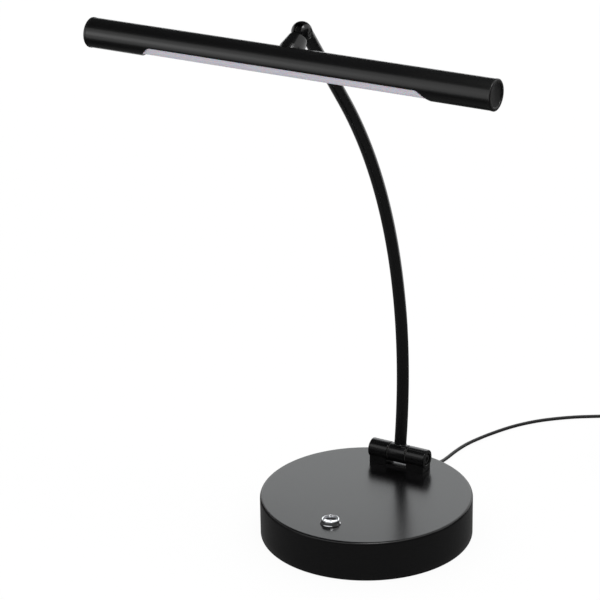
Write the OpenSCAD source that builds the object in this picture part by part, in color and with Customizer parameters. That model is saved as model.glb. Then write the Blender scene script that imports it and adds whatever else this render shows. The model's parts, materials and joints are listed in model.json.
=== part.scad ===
// Piano lamp: round weighted base, curved arm on a friction hinge, long light bar on a ball-shaped knuckle.
// Millimetres. Origin at the middle of the base on the floor, +Z up, the light bar along X, the front at -Y.

/* [Base] */
// Diameter of the round base
base_d = 174; // [160:1:194]
// Height of the base's flat top above the floor
base_h = 34; // [32:0.5:40]
// Radius of the rounded edge round the top
base_edge_r = 2.2; // [1:0.1:4]
// Wall of the base cover
cover_wall = 2; // [1.6:0.1:2.6]
// Gap from the floor to the cover's rim
rim_gap = 0.6; // [0.4:0.1:1]
// Thickness of the soft pad under the base
pad_t = 1.2; // [1:0.1:2]
// Thickness of the bottom plate
plate_t = 1.5; // [1:0.1:2.5]
// Thickness of the iron weight
weight_t = 12; // [9:0.5:13]
// Distance of the three screw posts from the middle
post_ring_r = 66; // [60:1:68]
// Radius of a screw post
post_r = 4.5; // [4:0.1:5.5]
// Radius of the plate screws' shanks
plate_screw_r = 1.9; // [1.5:0.1:2.2]

/* [Switch] */
// Distance of the push switch in front of the middle
switch_y = 59.5; // [55:0.5:62]
// Radius of the chrome bezel where it meets the base
bezel_r = 8.45; // [8:0.05:10]
// Height of the bezel's rim above the base
bezel_h = 4; // [3.5:0.1:5]
// Radius of the bezel's bore round the button
button_bore_r = 5.7; // [5:0.1:6]
// Radius of the threaded barrel behind the bezel
switch_thread_r = 6.9; // [6.5:0.1:7.2]
// Height of the button's top above the base
button_h = 2.5; // [2.2:0.1:3]
// Travel of the button
button_travel = 1.5; // [1:0.1:1.8]
// Depth of the switch under the base's top
switch_depth = 21; // [19:0.5:22]

/* [Hinge at the base] */
// Distance of the hinge axis behind the middle
hinge_y = 58.4; // [52:0.1:62]
// Height of the hinge axis above the floor
hinge_z = 45.2; // [45:0.1:50]
// Radius of the hinge barrel
barrel_r = 8; // [8:0.1:9]
// Length of the hinge barrel
barrel_len = 52; // [48:1:60]
// Width of the middle knuckle that carries the arm
knuckle_w = 16; // [14:0.5:18]
// Width of the block under the barrel
block_w = 50; // [46:1:56]
// Depth of the block under the barrel, front to back
block_d = 14; // [12:0.5:15]
// Radius of the hinge bolt
bolt_r = 2.5; // [2:0.1:2.6]
// Thickness of each friction washer
friction_t = 0.6; // [0.4:0.1:1]

/* [Arm] */
// Outside diameter of the arm tube
arm_d = 10.1; // [9.5:0.1:11]
// Wall of the arm tube
arm_wall = 1; // [0.8:0.1:1.4]
// Radius of the arm's bend, on its centre line
arm_bend_r = 418; // [380:1:460]
// Lean of the arm's foot to the back, in degrees
foot_lean = 7.75; // [6:0.25:12]
// Length of the straight foot from the hinge axis
foot_straight = 12; // [10:1:20]
// Lean of the arm's straight top to the front, in degrees
top_lean = 39.4; // [32:0.2:44]
// Length of the straight top, from the bend to level with the knuckle's middle
top_straight = 93.3; // [60:0.1:120]

/* [Knuckle at the light bar] */
// Radius of the ball-shaped knuckle
ball_r = 7.8; // [7.6:0.1:8.2]
// Distance of the ball's middle in front of the arm's centre line
ball_offset = 3.3; // [2.5:0.1:3.6]
// Thickness of the tongue that turns in the ball's slot
tongue_t = 5.2; // [4.6:0.1:5.4]
// Radius of the tongue's round end
tongue_r = 4.7; // [4.3:0.1:4.9]
// Radius of the cross screw
cross_screw_r = 2; // [1.6:0.1:2.2]
// Angle that the light bar can turn down and back from rest
tilt_down = 30; // [20:1:32]
// Angle that the light bar can turn up and forward from rest
tilt_up = 65; // [40:1:70]
// Fall of the neck towards the light bar, in degrees below level
neck_drop = 34.1; // [30:0.2:40]
// Distance from the ball's middle to the light bar's axis
neck_reach = 29.2; // [28.5:0.1:33]
// Radius of the neck's mouth round the ball
neck_mouth_r = 7.2; // [7:0.1:7.6]
// Radius of the neck at its foot on the light bar
neck_foot_r = 9.5; // [8:0.1:10]

/* [Light bar] */
// Outside diameter of the light bar's tube
bar_d = 22.6; // [21.5:0.1:24]
// Wall of the light bar's tube
bar_wall = 1.2; // [1:0.1:1.5]
// Length over the two end caps
bar_len = 336.5; // [310:1:360]
// Length of the light window
window_len = 242; // [220:1:270]
// Height of the window's edges below the tube's axis
window_drop = 2; // [1.6:0.1:3]
// Thickness of an end cap's flange
cap_t = 2.2; // [1.6:0.1:3]
// Wall of the opal diffuser
diffuser_wall = 1.2; // [1:0.1:1.5]
// Width of the light-emitting board
led_board_w = 11; // [9:0.5:12]
// Pitch of the light-emitting chips
led_pitch = 7; // [6:0.5:12]

/* [Cord] */
// Diameter of the low-voltage cord
cord_d = 3; // [2.8:0.1:3.2]
// Height of the cord's exit above the floor
exit_z = 8; // [8:0.1:9]
// Length of the strain relief outside the base
relief_len = 18; // [15:1:24]

/* [Power adaptor] */
// Length of the adaptor's housing
adaptor_len = 56; // [50:1:60]
// Width of the adaptor's housing
adaptor_w = 32; // [28:1:34]
// Height of the adaptor's housing
adaptor_h = 26; // [24:1:30]
// Distance between the two pins
pin_pitch = 18.6; // [18:0.1:19]
// Length of a pin
pin_len = 19; // [17:0.5:19.5]

/* [Hidden] */

$fn = 96;
small = 0.01;
fit = 0.05;            // clearance of a close fit, on the radius
loose = 0.35;          // clearance of a part that only passes by
chamfer = 0.6;         // broken edges on turned pieces
satin_black = [0.05, 0.05, 0.055];
deep_black = [0.02, 0.02, 0.02];
steel = [0.62, 0.62, 0.64];
chrome = [0.85, 0.86, 0.88];

// Base, from the floor up
base_r = base_d / 2;
cover_inner_r = base_r - cover_wall;
plate_r = cover_inner_r - 0.2;
pad_r = plate_r - 2;
weight_r = plate_r - 4;
plate_top = pad_t + plate_t;
weight_top = plate_top + weight_t;
ceiling_z = base_h - cover_wall;
post_angles = [0, 120, 240];
pad_hole_r = 5;
plate_screw_head_r = plate_screw_r + plate_t - 0.1;    // the cone ends inside the plate
plate_screw_end = plate_top + 12;

// Driver board on its spacers
board_x = 12;
board_size = [58, 38];
board_t = 1.6;
spacer_h = 4;
spacer_r = 3;
board_z = weight_top + spacer_h;
board_inset = 4;
board_corners = [for (sx = [-1, 1], sy = [-1, 1])
    [board_x + sx * (board_size.x / 2 - board_inset), sy * (board_size.y / 2 - board_inset)]];
board_screw_r = 1.4;
wire_r = 0.9;

// Switch
switch_well_r = switch_thread_r + 5;
nut_t = 2.5;
nut_r = switch_thread_r + 2.4;
seal_t = 0.8;
seal_r = switch_thread_r + 0.9;
switch_socket_z = base_h - 11;
button_foot_z = base_h - 5;
button_stem_r = 2.2;
spring_r = 3.3;
spring_wire_r = 0.3;
spring_turns = 5;

// Hinge at the base
ear_gap = friction_t + 2 * fit;
ear_start = knuckle_w / 2 + ear_gap;
ear_end = barrel_len / 2;
web_z = hinge_z - barrel_r - 2.5;
bolt_head_r = 4.25;
bolt_head_h = 3.8;
counterbore_r = bolt_head_r + 0.6;
washer_stack = 1.1;
counterbore_x = ear_end - chamfer - bolt_head_h - washer_stack;
nut_af_r = 4.6;
bolt_nut_t = 4;
nut_pocket_x = -(ear_end - bolt_nut_t - 1);
block_screw_x = 16;
block_screw_r = 1.95;
block_screw_depth = hinge_z - bolt_r - 2 - base_h;
wire_hole_r = 2.2;
lead_bend_y = 66;      // where the cord turns aside in the weight's channel

// Arm: a straight foot, one bend and a straight top
arm_r = arm_d / 2;
arm_bore_r = arm_r - arm_wall;
socket_floor = bolt_r + 1.5;
bend_start_y = hinge_y + foot_straight * sin(foot_lean);
bend_start_z = hinge_z + foot_straight * cos(foot_lean);
bend_y = bend_start_y - arm_bend_r * cos(foot_lean);
bend_z = bend_start_z + arm_bend_r * sin(foot_lean);
bend_end_y = bend_y + arm_bend_r * cos(top_lean);
bend_end_z = bend_z + arm_bend_r * sin(top_lean);
arm_top_y = bend_end_y - top_straight * sin(top_lean);
arm_top_z = bend_end_z + top_straight * cos(top_lean);
pivot_y = arm_top_y - ball_offset * cos(top_lean);
pivot_z = arm_top_z - ball_offset * sin(top_lean);
collar_top = 3.2;      // where the ball's collar starts, down the arm from level with the pivot
collar_end = 9.5;      // where the arm tube starts
spigot_end = collar_end + 14;
arm_wire_r = 0.65;
arm_wire_bore_r = 1.6;
weld = 0.4;            // the low weld round the arm's foot
drawn_step = 0.02;     // the straight ends are this much thicker than the drawn bend

// Knuckle at the light bar
slot_half = tongue_t / 2 + 0.5;
tongue_half_h = 4;
cup_face = 5.5;        // distance of the neck's end face from the pivot
neck_chamfer = 1.3;
cross_head_r = 3.3;
cross_head_h = 1.5;
cross_head_x = 5.3;
bar_r = bar_d / 2;
bar_y = pivot_y - neck_reach * cos(neck_drop);
bar_z = pivot_z - neck_reach * sin(neck_drop);
neck_screw_x = 5.4;
neck_screw_r = 1.45;
neck_screw_head_r = 2.6;
neck_screw_head_h = 1.6;
neck_lead_offset = 5.2;
head_lead_r = 0.9;

// Light bar
bar_bore_r = bar_r - bar_wall;
bar_tube_len = bar_len - 2 * cap_t;
window_w = 2 * sqrt(bar_r * bar_r - window_drop * window_drop);
cap_plug_r = bar_bore_r - 0.12;
cap_plug_len = 7;
cap_flange_r = bar_r + 0.2;
cap_inset_r = cap_flange_r - 2.7;
cap_inset_depth = 0.8;
carrier_z = 1.5;
carrier_len = bar_tube_len - 2 * (cap_plug_len + 1);
carrier_r = bar_bore_r - 0.12;
carrier_gap = 22;      // the ribs stop here for the neck screws' heads and the lead
led_board_t = 1.2;
led_board_len = window_len + 6;
led_size = [3.5, 2.8, 0.8];
led_count = floor((window_len - 8) / led_pitch);
diffuser_len = window_len + 22;
diffuser_top = carrier_z - 0.3;

// Cord: points along its free stretch, from the strain relief to the coil, each on the surface that it lies on
cord_r = cord_d / 2;
gland_waist_r = 3.6;
gland_flange_r = min(5.2, exit_z - plate_top - 0.3);
coil_x = 131.5;
coil_y = 278.75;
coil_pitch = cord_d + 0.5;
coil_per_layer = 3;
coil_layers = 4;
coil_mid_r = 16.5;
coil_out_r = coil_mid_r + coil_per_layer * coil_pitch / 2;
coil_in_r = coil_mid_r - coil_per_layer * coil_pitch / 2;
coil_end_r = coil_out_r + coil_pitch / 4;
tie_t = 0.5;
tie_w = 8;
tie_gap = 0.35;
coil_z = cord_r + tie_t + tie_gap + 0.05;
coil_top_z = coil_z + (coil_layers - 1) * coil_pitch;
exit_y = base_r + relief_len;
cord_path = [
    [0, exit_y, exit_z], [0, exit_y + 6, exit_z], [-0.3, 118, 7.4], [-0.7, 126, 5.6], [-1, 134, 3.4],
    [-1.1, 142, 1.9], [-0.9, 150, cord_r], [-0.6, 158.5, cord_r], [0.1, 168, cord_r], [1.5, 178.3, cord_r],
    [3.7, 187.5, cord_r], [6.4, 196, cord_r], [9.3, 204.3, cord_r], [12.6, 212.5, cord_r],
    [16, 220.3, cord_r], [19.7, 227.9, cord_r], [23.8, 235.3, cord_r], [28.4, 242.4, cord_r],
    [33.9, 249.7, cord_r], [40.1, 256.8, cord_r], [47.3, 263.8, cord_r], [55.4, 270.8, cord_r],
    [64.5, 277.7, cord_r], [74.6, 284.2, cord_r], [85.6, 290.3, 1.7], [96.6, 295.1, 2], [107.5, 298.4, 2.2],
    [116.5, coil_y + coil_out_r - 0.4, 2.3], [coil_x - 3 * cord_d, coil_y + coil_out_r, coil_z],
    [coil_x - cord_d, coil_y + coil_out_r, coil_z]];
adaptor_x = coil_x + coil_end_r;
adaptor_relief_len = 10;
adaptor_y = coil_y - coil_out_r - 8;

// ---------------------------------------------------------------- shared shapes and frames

// Turns a drawing in X and Y into the side plane: X becomes Y, Y becomes Z, and its height runs along X
module side_plane() { rotate([90, 0, 90]) children(); }

// A solid of revolution whose axis is X, from a profile of [distance along X, radius] points
module turned_x(profile) {
    rotate([0, 90, 0])
        rotate_extrude() polygon([for (p = profile) [p[1], p[0]]]);
}

// A plain bar along X between two stations
module bar_x(from, to, r, sides = 96) {
    translate([from, 0, 0]) rotate([0, 90, 0]) cylinder(h = to - from, r = r, $fn = sides);
}

// A ring that lies flat
module ring(outer, inner, h) {
    linear_extrude(h) difference() {
        circle(r = outer);
        circle(r = inner);
    }
}

// A rectangle with round corners, middle at the origin
module round_rect(size, r) {
    square([size.x - 2 * r, size.y], center = true);
    square([size.x, size.y - 2 * r], center = true);
    for (sx = [-1, 1], sy = [-1, 1])
        translate([sx * (size.x / 2 - r), sy * (size.y / 2 - r)]) circle(r = r, $fn = 32);
}

// Sweeps a tube of a few flat sides along points, each ring square to the path there
function unit(v) = v / norm(v);
function path_way(p, i) = unit(p[min(i + 1, len(p) - 1)] - p[max(i - 1, 0)]);
function path_ring(p, i, r, sides, aside) = let (way = path_way(p, i), across = unit(cross(way, aside)),
    up = cross(across, way))
    [for (k = [0:sides - 1]) p[i] + r * (cos(360 * k / sides) * across + sin(360 * k / sides) * up)];

module swept_tube(p, r, sides, aside = [0, 0, 1]) {
    n = len(p);
    points = [for (i = [0:n - 1]) each path_ring(p, i, r, sides, aside)];
    skin = [for (i = [0:n - 2], k = [0:sides - 1]) let (a = i * sides + k,
        b = i * sides + (k + 1) % sides) each [[a, b, b + sides], [a, b + sides, a + sides]]];
    first = [for (k = [1:sides - 2]) [0, k + 1, k]];
    last = [for (k = [1:sides - 2]) [(n - 1) * sides, (n - 1) * sides + k, (n - 1) * sides + k + 1]];
    polyhedron(points, concat(skin, first, last), convexity = 10);
}

// A wire through a list of points, each corner rounded from a given distance before it
function rounded_path(p, r) = concat([p[0]], [for (i = [1:len(p) - 2], t = [0:0.25:1])
    let (a = p[i] + r * unit(p[i - 1] - p[i]), c = p[i] + r * unit(p[i + 1] - p[i]))
        (1 - t) * (1 - t) * a + 2 * t * (1 - t) * p[i] + t * t * c], [p[len(p) - 1]]);

module wire(points, r, bend, sides = 6, aside = [0, 0, 1]) {
    swept_tube(rounded_path(points, bend), r, sides, aside);
}

// Frames: the hinge axis, the arm's foot, the arm's bend, its straight top, the pivot and the neck
module at_hinge() { translate([0, hinge_y, hinge_z]) children(); }
module foot_frame() { at_hinge() rotate([-foot_lean, 0, 0]) children(); }
module bend_frame() { translate([0, bend_y, bend_z]) side_plane() children(); }
module top_frame() { translate([0, arm_top_y, arm_top_z]) rotate([180 + top_lean, 0, 0]) children(); }
module at_pivot() { translate([0, pivot_y, pivot_z]) children(); }
module neck_frame() { at_pivot() rotate([90 + neck_drop, 0, 0]) children(); }
module at_bar() { translate([0, bar_y, bar_z]) children(); }

// ---------------------------------------------------------------- base

module cover_profile(r, h, edge, foot) {
    translate([0, foot]) square([r - edge, h - foot]);
    translate([0, foot]) square([r, h - foot - edge]);
    translate([r - edge, h - edge]) circle(r = edge, $fn = 64);
}

module at_posts() {
    for (a = post_angles) rotate([0, 0, a]) translate([post_ring_r, 0, 0]) children();
}

module base_cover() {
    inner_edge = max(base_edge_r - cover_wall, 0.2);
    color(satin_black) difference() {
        union() {
            rotate_extrude() difference() {
                intersection() {
                    cover_profile(base_r, base_h, base_edge_r, rim_gap);
                    square([base_r, base_h]);
                }
                intersection() {
                    cover_profile(cover_inner_r, ceiling_z, inner_edge, -1);
                    translate([0, -1]) square([cover_inner_r, base_h]);
                }
            }
            at_posts() translate([0, 0, plate_top]) cylinder(h = ceiling_z - plate_top + small, r = post_r);
        }
        at_posts() translate([0, 0, plate_top - 1])
            cylinder(h = plate_screw_end - plate_top + 2, r = plate_screw_r + fit);
        translate([0, -switch_y, ceiling_z - 1]) cylinder(h = cover_wall + 2, r = switch_thread_r + fit);
        for (s = [-1, 1]) translate([s * block_screw_x, hinge_y, ceiling_z - 1])
            cylinder(h = cover_wall + 2, r = block_screw_r + 0.2);
        translate([0, hinge_y, ceiling_z - 1]) cylinder(h = cover_wall + 2, r = wire_hole_r);
        translate([0, cover_inner_r - 4, exit_z]) rotate([-90, 0, 0])
            cylinder(h = cover_wall + 8, r = gland_waist_r + fit);
    }
}

// A round-bottomed channel along X for the cord, open to the top
module lead_channel(len) {
    rotate([0, 90, 0]) cylinder(h = len, r = 3, $fn = 48);
    translate([0, -3, 0]) cube([len, 6, weight_t]);
    sphere(r = 3.02, $fn = 48);
}

module base_weight() {
    color([0.2, 0.2, 0.2]) translate([0, 0, plate_top]) difference() {
        rotate_extrude() polygon([[0, 0], [weight_r, 0], [weight_r, weight_t - 1.5],
            [weight_r - 1.5, weight_t], [0, weight_t]]);
        at_posts() translate([0, 0, -1]) cylinder(h = weight_t + 2, r = post_r + loose);
        translate([0, -switch_y, -1]) cylinder(h = weight_t + 2, r = switch_well_r);
        translate([0, lead_bend_y, exit_z - plate_top]) rotate([0, 0, 90]) lead_channel(weight_r);
        translate([0, lead_bend_y, exit_z - plate_top]) rotate([0, 0, atan2(-20, -10)]) lead_channel(30);
        for (p = board_corners) translate([p.x, p.y, weight_t - 6]) cylinder(h = 7, r = board_screw_r + fit);
    }
}

module base_plate() {
    color([0.3, 0.3, 0.31]) translate([0, 0, pad_t]) difference() {
        cylinder(h = plate_t, r = plate_r);
        at_posts() rotate_extrude() polygon([[0, -1], [plate_screw_head_r + fit + 1, -1],
            [plate_screw_r + fit, plate_screw_head_r - plate_screw_r], [plate_screw_r + fit, plate_t + 1],
            [0, plate_t + 1]]);
    }
}

module base_pad() {
    color([0.08, 0.08, 0.08]) difference() {
        cylinder(h = pad_t, r = pad_r);
        at_posts() translate([0, 0, -1]) cylinder(h = pad_t + 2, r = pad_hole_r);
    }
}

module plate_screws() {
    head_h = plate_screw_head_r - plate_screw_r;
    color(steel) at_posts() translate([0, 0, pad_t]) difference() {
        rotate_extrude() polygon([[0, 0], [plate_screw_head_r, 0], [plate_screw_r, head_h],
            [plate_screw_r, plate_screw_end - pad_t - 1], [plate_screw_r - 0.6, plate_screw_end - pad_t],
            [0, plate_screw_end - pad_t]]);
        for (a = [0, 90]) rotate([0, 0, a]) translate([-2, -0.35, -1]) cube([4, 0.7, 1.9]);
    }
}

// ---------------------------------------------------------------- driver board and wires

module driver_board() {
    large = [15, 9, 8.5];      // the two round capacitors: distance to the left, to either side, height
    coil = [12, 6, 6];
    color([0.05, 0.3, 0.15]) translate([board_x, 0, board_z]) {
        difference() {
            translate([0, 0, board_t / 2]) cube([board_size.x, board_size.y, board_t], center = true);
            for (p = board_corners) translate([p.x - board_x, p.y, -1])
                cylinder(h = board_t + 2, r = board_screw_r + 0.2);
        }
        translate([-board_size.x / 2, -3, board_t]) cube([7, 6, 5]);
        translate([-large.x, large.y, board_t]) cylinder(h = large.z, r = 4);
        translate([-large.x, -large.y, board_t]) cylinder(h = large.z - 1.5, r = 3.2);
        translate([-2, -5, board_t]) cube([9, 10, 5.5]);
        translate([13, -9, board_t]) cube([5, 7, 1.6]);
        translate([13, 4, board_t]) cube([8, 5, 4]);
        translate([-4, 11, board_t]) cube([10, 6, 6]);
        translate([-coil.x / 2, -board_size.y / 2 + 2, board_t]) cube(coil);
    }
}

module board_spacers() {
    color([0.9, 0.9, 0.85]) for (p = board_corners) translate([p.x, p.y, weight_top])
        ring(spacer_r, board_screw_r + fit, spacer_h);
}

module board_screws() {
    top = board_z + board_t;
    color(steel) for (p = board_corners) translate([p.x, p.y, 0]) {
        translate([0, 0, weight_top - 5]) cylinder(h = top - weight_top + 5 + small, r = board_screw_r);
        translate([0, 0, top]) difference() {
            cylinder(h = 1.8, r = board_screw_r * 1.9);
            translate([-2, -0.3, 1]) cube([4, 0.6, 1]);
        }
    }
}

module base_wires() {
    z = weight_top + wire_r + 0.05;
    terminal_z = base_h - switch_depth - 2;
    color([0.6, 0.1, 0.1]) for (s = [-1, 1]) {
        wire([[s * 2.2, -switch_y + 1.5, terminal_z], [s * 2.2, -switch_y + 9, terminal_z],
            [s * 2.2, -switch_y + 9, z], [s * 3 + 6, -30, z], [board_x + s * 3, -14, z],
            [board_x + s * 3, -14, board_z - 0.1]], wire_r, 2, 6, [1, 0, 0]);
        wire([[board_x + s * 3, 14, board_z - 0.1], [board_x + s * 3, 14, z], [s * 1.05 + 0.1, 40, z],
            [s * 1.05, hinge_y, z], [s * 1.05, hinge_y, web_z]], wire_r, 2, 6, [1, 0, 0]);
    }
}

// ---------------------------------------------------------------- push switch

module switch_bezel() {
    rim = bezel_h - 0.7;
    color(chrome) translate([0, -switch_y, base_h]) rotate_extrude() difference() {
        union() {
            polygon([[0, 0], [bezel_r, 0], [bezel_r, 0.7], [bezel_r - 0.5, 1.4], [7.2, rim - 0.3],
                [6.6, rim], [0, rim]]);
            translate([6.35, bezel_h - 0.85]) circle(r = 0.85, $fn = 40);
            translate([0, -switch_depth + 8]) square([switch_thread_r, switch_depth - 8 + small]);
        }
        translate([0, -switch_depth]) square([button_bore_r, 2 * switch_depth]);
    }
}

module switch_seal() {
    color(deep_black) translate([0, -switch_y, ceiling_z - seal_t]) ring(nut_r, switch_thread_r + fit, seal_t);
}

module switch_nut() {
    color(steel) translate([0, -switch_y, ceiling_z - seal_t - nut_t]) difference() {
        cylinder(h = nut_t, r = nut_r, $fn = 6);
        translate([0, 0, -1]) cylinder(h = nut_t + 2, r = switch_thread_r + fit);
    }
}

module switch_body() {
    floor_z = base_h - switch_depth;
    color([0.1, 0.1, 0.1]) translate([0, -switch_y, 0]) {
        difference() {
            translate([0, 0, floor_z]) cylinder(h = switch_socket_z - floor_z + 3, r = button_bore_r - fit);
            translate([0, 0, switch_socket_z]) cylinder(h = 4, r = spring_r + 0.6);
            translate([0, 0, switch_socket_z - 3]) cylinder(h = 4, r = button_stem_r + 0.3);
        }
        for (s = [-1, 1]) translate([s * 2.2, 0, floor_z - 1.9]) cube([0.8, 3, 4], center = true);
    }
}

module switch_button() {
    dish = 0.7;
    color(chrome) translate([0, -switch_y, 0]) difference() {
        rotate_extrude() polygon([[0, switch_socket_z - 1], [button_stem_r, switch_socket_z - 1],
            [button_stem_r, button_foot_z], [button_bore_r - 1, button_foot_z],
            [button_bore_r - 1, base_h], [button_bore_r - 0.2, base_h + 0.3],
            [button_bore_r - 0.2, base_h + button_h - 0.4], [button_bore_r - 0.6, base_h + button_h],
            [0, base_h + button_h]]);
        translate([0, 0, base_h + button_h + 15.6 - dish]) sphere(r = 15.6, $fn = 96);
        translate([0, 0, base_h + button_h - dish - 0.6]) cylinder(h = 2, r = 0.9);
    }
}

// A spring wound as one wire, with a flat turn at each end
function spring_z(t) = let (lo = switch_socket_z + spring_wire_r, hi = button_foot_z - spring_wire_r)
    lo + (hi - lo) * min(max((t - 0.75) / (spring_turns - 1.5), 0), 1);
spring_path = [for (i = [0:spring_turns * 12]) let (t = i / 12)
    [spring_r * cos(360 * t), spring_r * sin(360 * t), spring_z(t)]];

module switch_spring() {
    color(steel) translate([0, -switch_y, 0]) swept_tube(spring_path, spring_wire_r, 6);
}

// ---------------------------------------------------------------- hinge at the base

// One ear of the barrel, from the knuckle outwards
module ear(from, to) {
    turned_x([[from, 0], [from, barrel_r - chamfer], [from + chamfer, barrel_r],
        [to - chamfer, barrel_r], [to, barrel_r - chamfer], [to, 0]]);
}

module hinge_block() {
    color(satin_black) at_hinge() difference() {
        union() {
            translate([-block_w / 2, -block_d / 2, base_h - hinge_z])
                cube([block_w, block_d, web_z - base_h]);
            for (s = [0, 1]) mirror([s, 0, 0]) {
                translate([ear_start + chamfer, -block_d / 2, base_h - hinge_z])
                    cube([block_w / 2 - ear_start - chamfer, block_d, hinge_z - base_h]);
                ear(ear_start, ear_end);
            }
        }
        bar_x(-barrel_len, barrel_len, bolt_r + fit);
        bar_x(counterbore_x, barrel_len, counterbore_r);
        bar_x(-barrel_len, nut_pocket_x, nut_af_r + 0.12, 6);
        for (s = [-1, 1]) translate([s * block_screw_x, 0, base_h - hinge_z - 1])
            cylinder(h = block_screw_depth + 1, r = block_screw_r + fit);
        translate([0, 0, base_h - hinge_z - 1]) cylinder(h = web_z - base_h + 2, r = wire_hole_r);
    }
}

module block_screws() {
    head_z = ceiling_z - hinge_z;
    color(steel) at_hinge() for (s = [-1, 1]) translate([s * block_screw_x, 0, 0]) difference() {
        union() {
            translate([0, 0, head_z - small])
                cylinder(h = base_h - ceiling_z + block_screw_depth - 1, r = block_screw_r);
            translate([0, 0, head_z - 4]) cylinder(h = 4, r = block_screw_r * 1.8);
        }
        translate([0, 0, head_z - 5]) cylinder(h = 3.2, r = 1.7, $fn = 6);
    }
}

module hinge_bolt() {
    head_x = counterbore_x + washer_stack;
    color(steel) at_hinge() difference() {
        union() {
            bar_x(nut_pocket_x - bolt_nut_t, head_x + small, bolt_r);
            turned_x([[head_x, 0], [head_x, bolt_head_r], [head_x + bolt_head_h - 0.5, bolt_head_r],
                [head_x + bolt_head_h, bolt_head_r - 0.5], [head_x + bolt_head_h, 0]]);
        }
        bar_x(head_x + bolt_head_h - 2.4, barrel_len, 2.3, 6);
    }
}

module hinge_nut() {
    color(steel) at_hinge() difference() {
        bar_x(nut_pocket_x - bolt_nut_t, nut_pocket_x, nut_af_r, 6);
        bar_x(-barrel_len, 0, bolt_r + fit);
    }
}

module hinge_spring_washers() {
    t = 0.4;
    cone = 0.3;
    color(steel) at_hinge() {
        turned_x([[counterbore_x, bolt_head_r], [counterbore_x + t, bolt_head_r],
            [counterbore_x + t + cone / 2, bolt_r + 0.2], [counterbore_x + cone / 2, bolt_r + 0.2]]);
        turned_x([[counterbore_x + washer_stack, bolt_head_r],
            [counterbore_x + washer_stack - cone / 2, bolt_r + 0.2],
            [counterbore_x + washer_stack - t - cone / 2, bolt_r + 0.2],
            [counterbore_x + washer_stack - t, bolt_head_r]]);
    }
}

module friction_washers() {
    color([0.15, 0.15, 0.15]) at_hinge() for (s = [0, 1]) mirror([s, 0, 0])
        translate([knuckle_w / 2 + fit, 0, 0]) rotate([0, 90, 0])
            ring(barrel_r - chamfer - 0.2, bolt_r + fit, friction_t);
}

// ---------------------------------------------------------------- arm

module arm_knuckle() {
    color(satin_black) difference() {
        union() {
            at_hinge() ear(-knuckle_w / 2, knuckle_w / 2);
            foot_frame() rotate_extrude() polygon([[0, 0], [arm_r + weld, 0], [arm_r + weld, barrel_r - 0.1],
                [arm_r + 0.15, barrel_r + weld], [0, barrel_r + weld]]);
        }
        at_hinge() bar_x(-barrel_len, barrel_len, bolt_r + fit);
        foot_frame() translate([0, 0, socket_floor]) cylinder(h = barrel_r + 5, r = arm_r + fit);
    }
}

// One solid along the arm's centre line: foot, bend and top, down to given ends
module arm_run(r, from, to) {
    foot_frame() translate([0, 0, from]) cylinder(h = foot_straight + 1 - from, r = r + drawn_step);
    bend_frame() rotate([0, 0, -foot_lean])
        rotate_extrude(angle = foot_lean + top_lean) translate([arm_bend_r, 0]) circle(r = r);
    top_frame() translate([0, 0, to]) cylinder(h = top_straight + 1 - to, r = r + drawn_step);
}

module arm_tube() {
    color(satin_black) difference() {
        arm_run(arm_r, socket_floor + fit, collar_end);
        arm_run(arm_bore_r, socket_floor + fit - 1, collar_end - 1);
    }
}

module arm_wires() {
    color([0.7, 0.7, 0.7]) for (s = [-1, 1]) translate([s * (arm_wire_r + 0.1), 0, 0])
        arm_run(arm_wire_r, socket_floor + 1, collar_top + 2.5);
}

// Side outline of the slot in which the tongue swings, in the neck's frame turned into the side plane
module slot_outline() {
    circle(r = tongue_r + 0.45);
    reach = 3 * ball_r;
    half = tongue_half_h + 0.5;
    spread = asin(half / ball_r);
    for (a = [-tilt_up - 2 : 8 : tilt_down + 2], b = [tilt_down + 2])
        for (t = [a, b]) rotate([0, 0, 180 + neck_drop + t]) translate([0, -half]) square([reach, 2 * half]);
}

module arm_ball() {
    color(satin_black) difference() {
        union() {
            at_pivot() sphere(r = ball_r);
            top_frame() {
                rotate_extrude() polygon([[0, collar_top], [arm_r - 0.5, collar_top],
                    [arm_r, collar_top + 0.5], [arm_r, collar_end], [0, collar_end]]);
                translate([0, 0, collar_end - small])
                    cylinder(h = spigot_end - collar_end + small, r = arm_bore_r - fit);
            }
        }
        at_pivot() {
            translate([-slot_half, 0, 0]) side_plane() linear_extrude(2 * slot_half) slot_outline();
            bar_x(-cross_head_x - 1.4, 2 * ball_r, cross_screw_r + fit);
            bar_x(cross_head_x, 2 * ball_r, cross_head_r + 0.15);
        }
        top_frame() translate([0, 0, 0]) cylinder(h = spigot_end + 1, r = arm_wire_bore_r);
    }
}

module cross_screw() {
    color(steel) at_pivot() difference() {
        union() {
            bar_x(-cross_head_x - 1.3, cross_head_x + small, cross_screw_r);
            turned_x([[cross_head_x, 0], [cross_head_x, cross_head_r], [cross_head_x + cross_head_h - 0.3,
                cross_head_r], [cross_head_x + cross_head_h, cross_head_r - 0.3],
                [cross_head_x + cross_head_h, 0]]);
        }
        translate([cross_head_x + cross_head_h - 0.8, 0, 0]) rotate([neck_drop - 14, 0, 0])
            translate([0, -2 * cross_head_r, -0.4]) cube([2, 4 * cross_head_r, 0.8]);
    }
}

// ---------------------------------------------------------------- neck between ball and light bar

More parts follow.
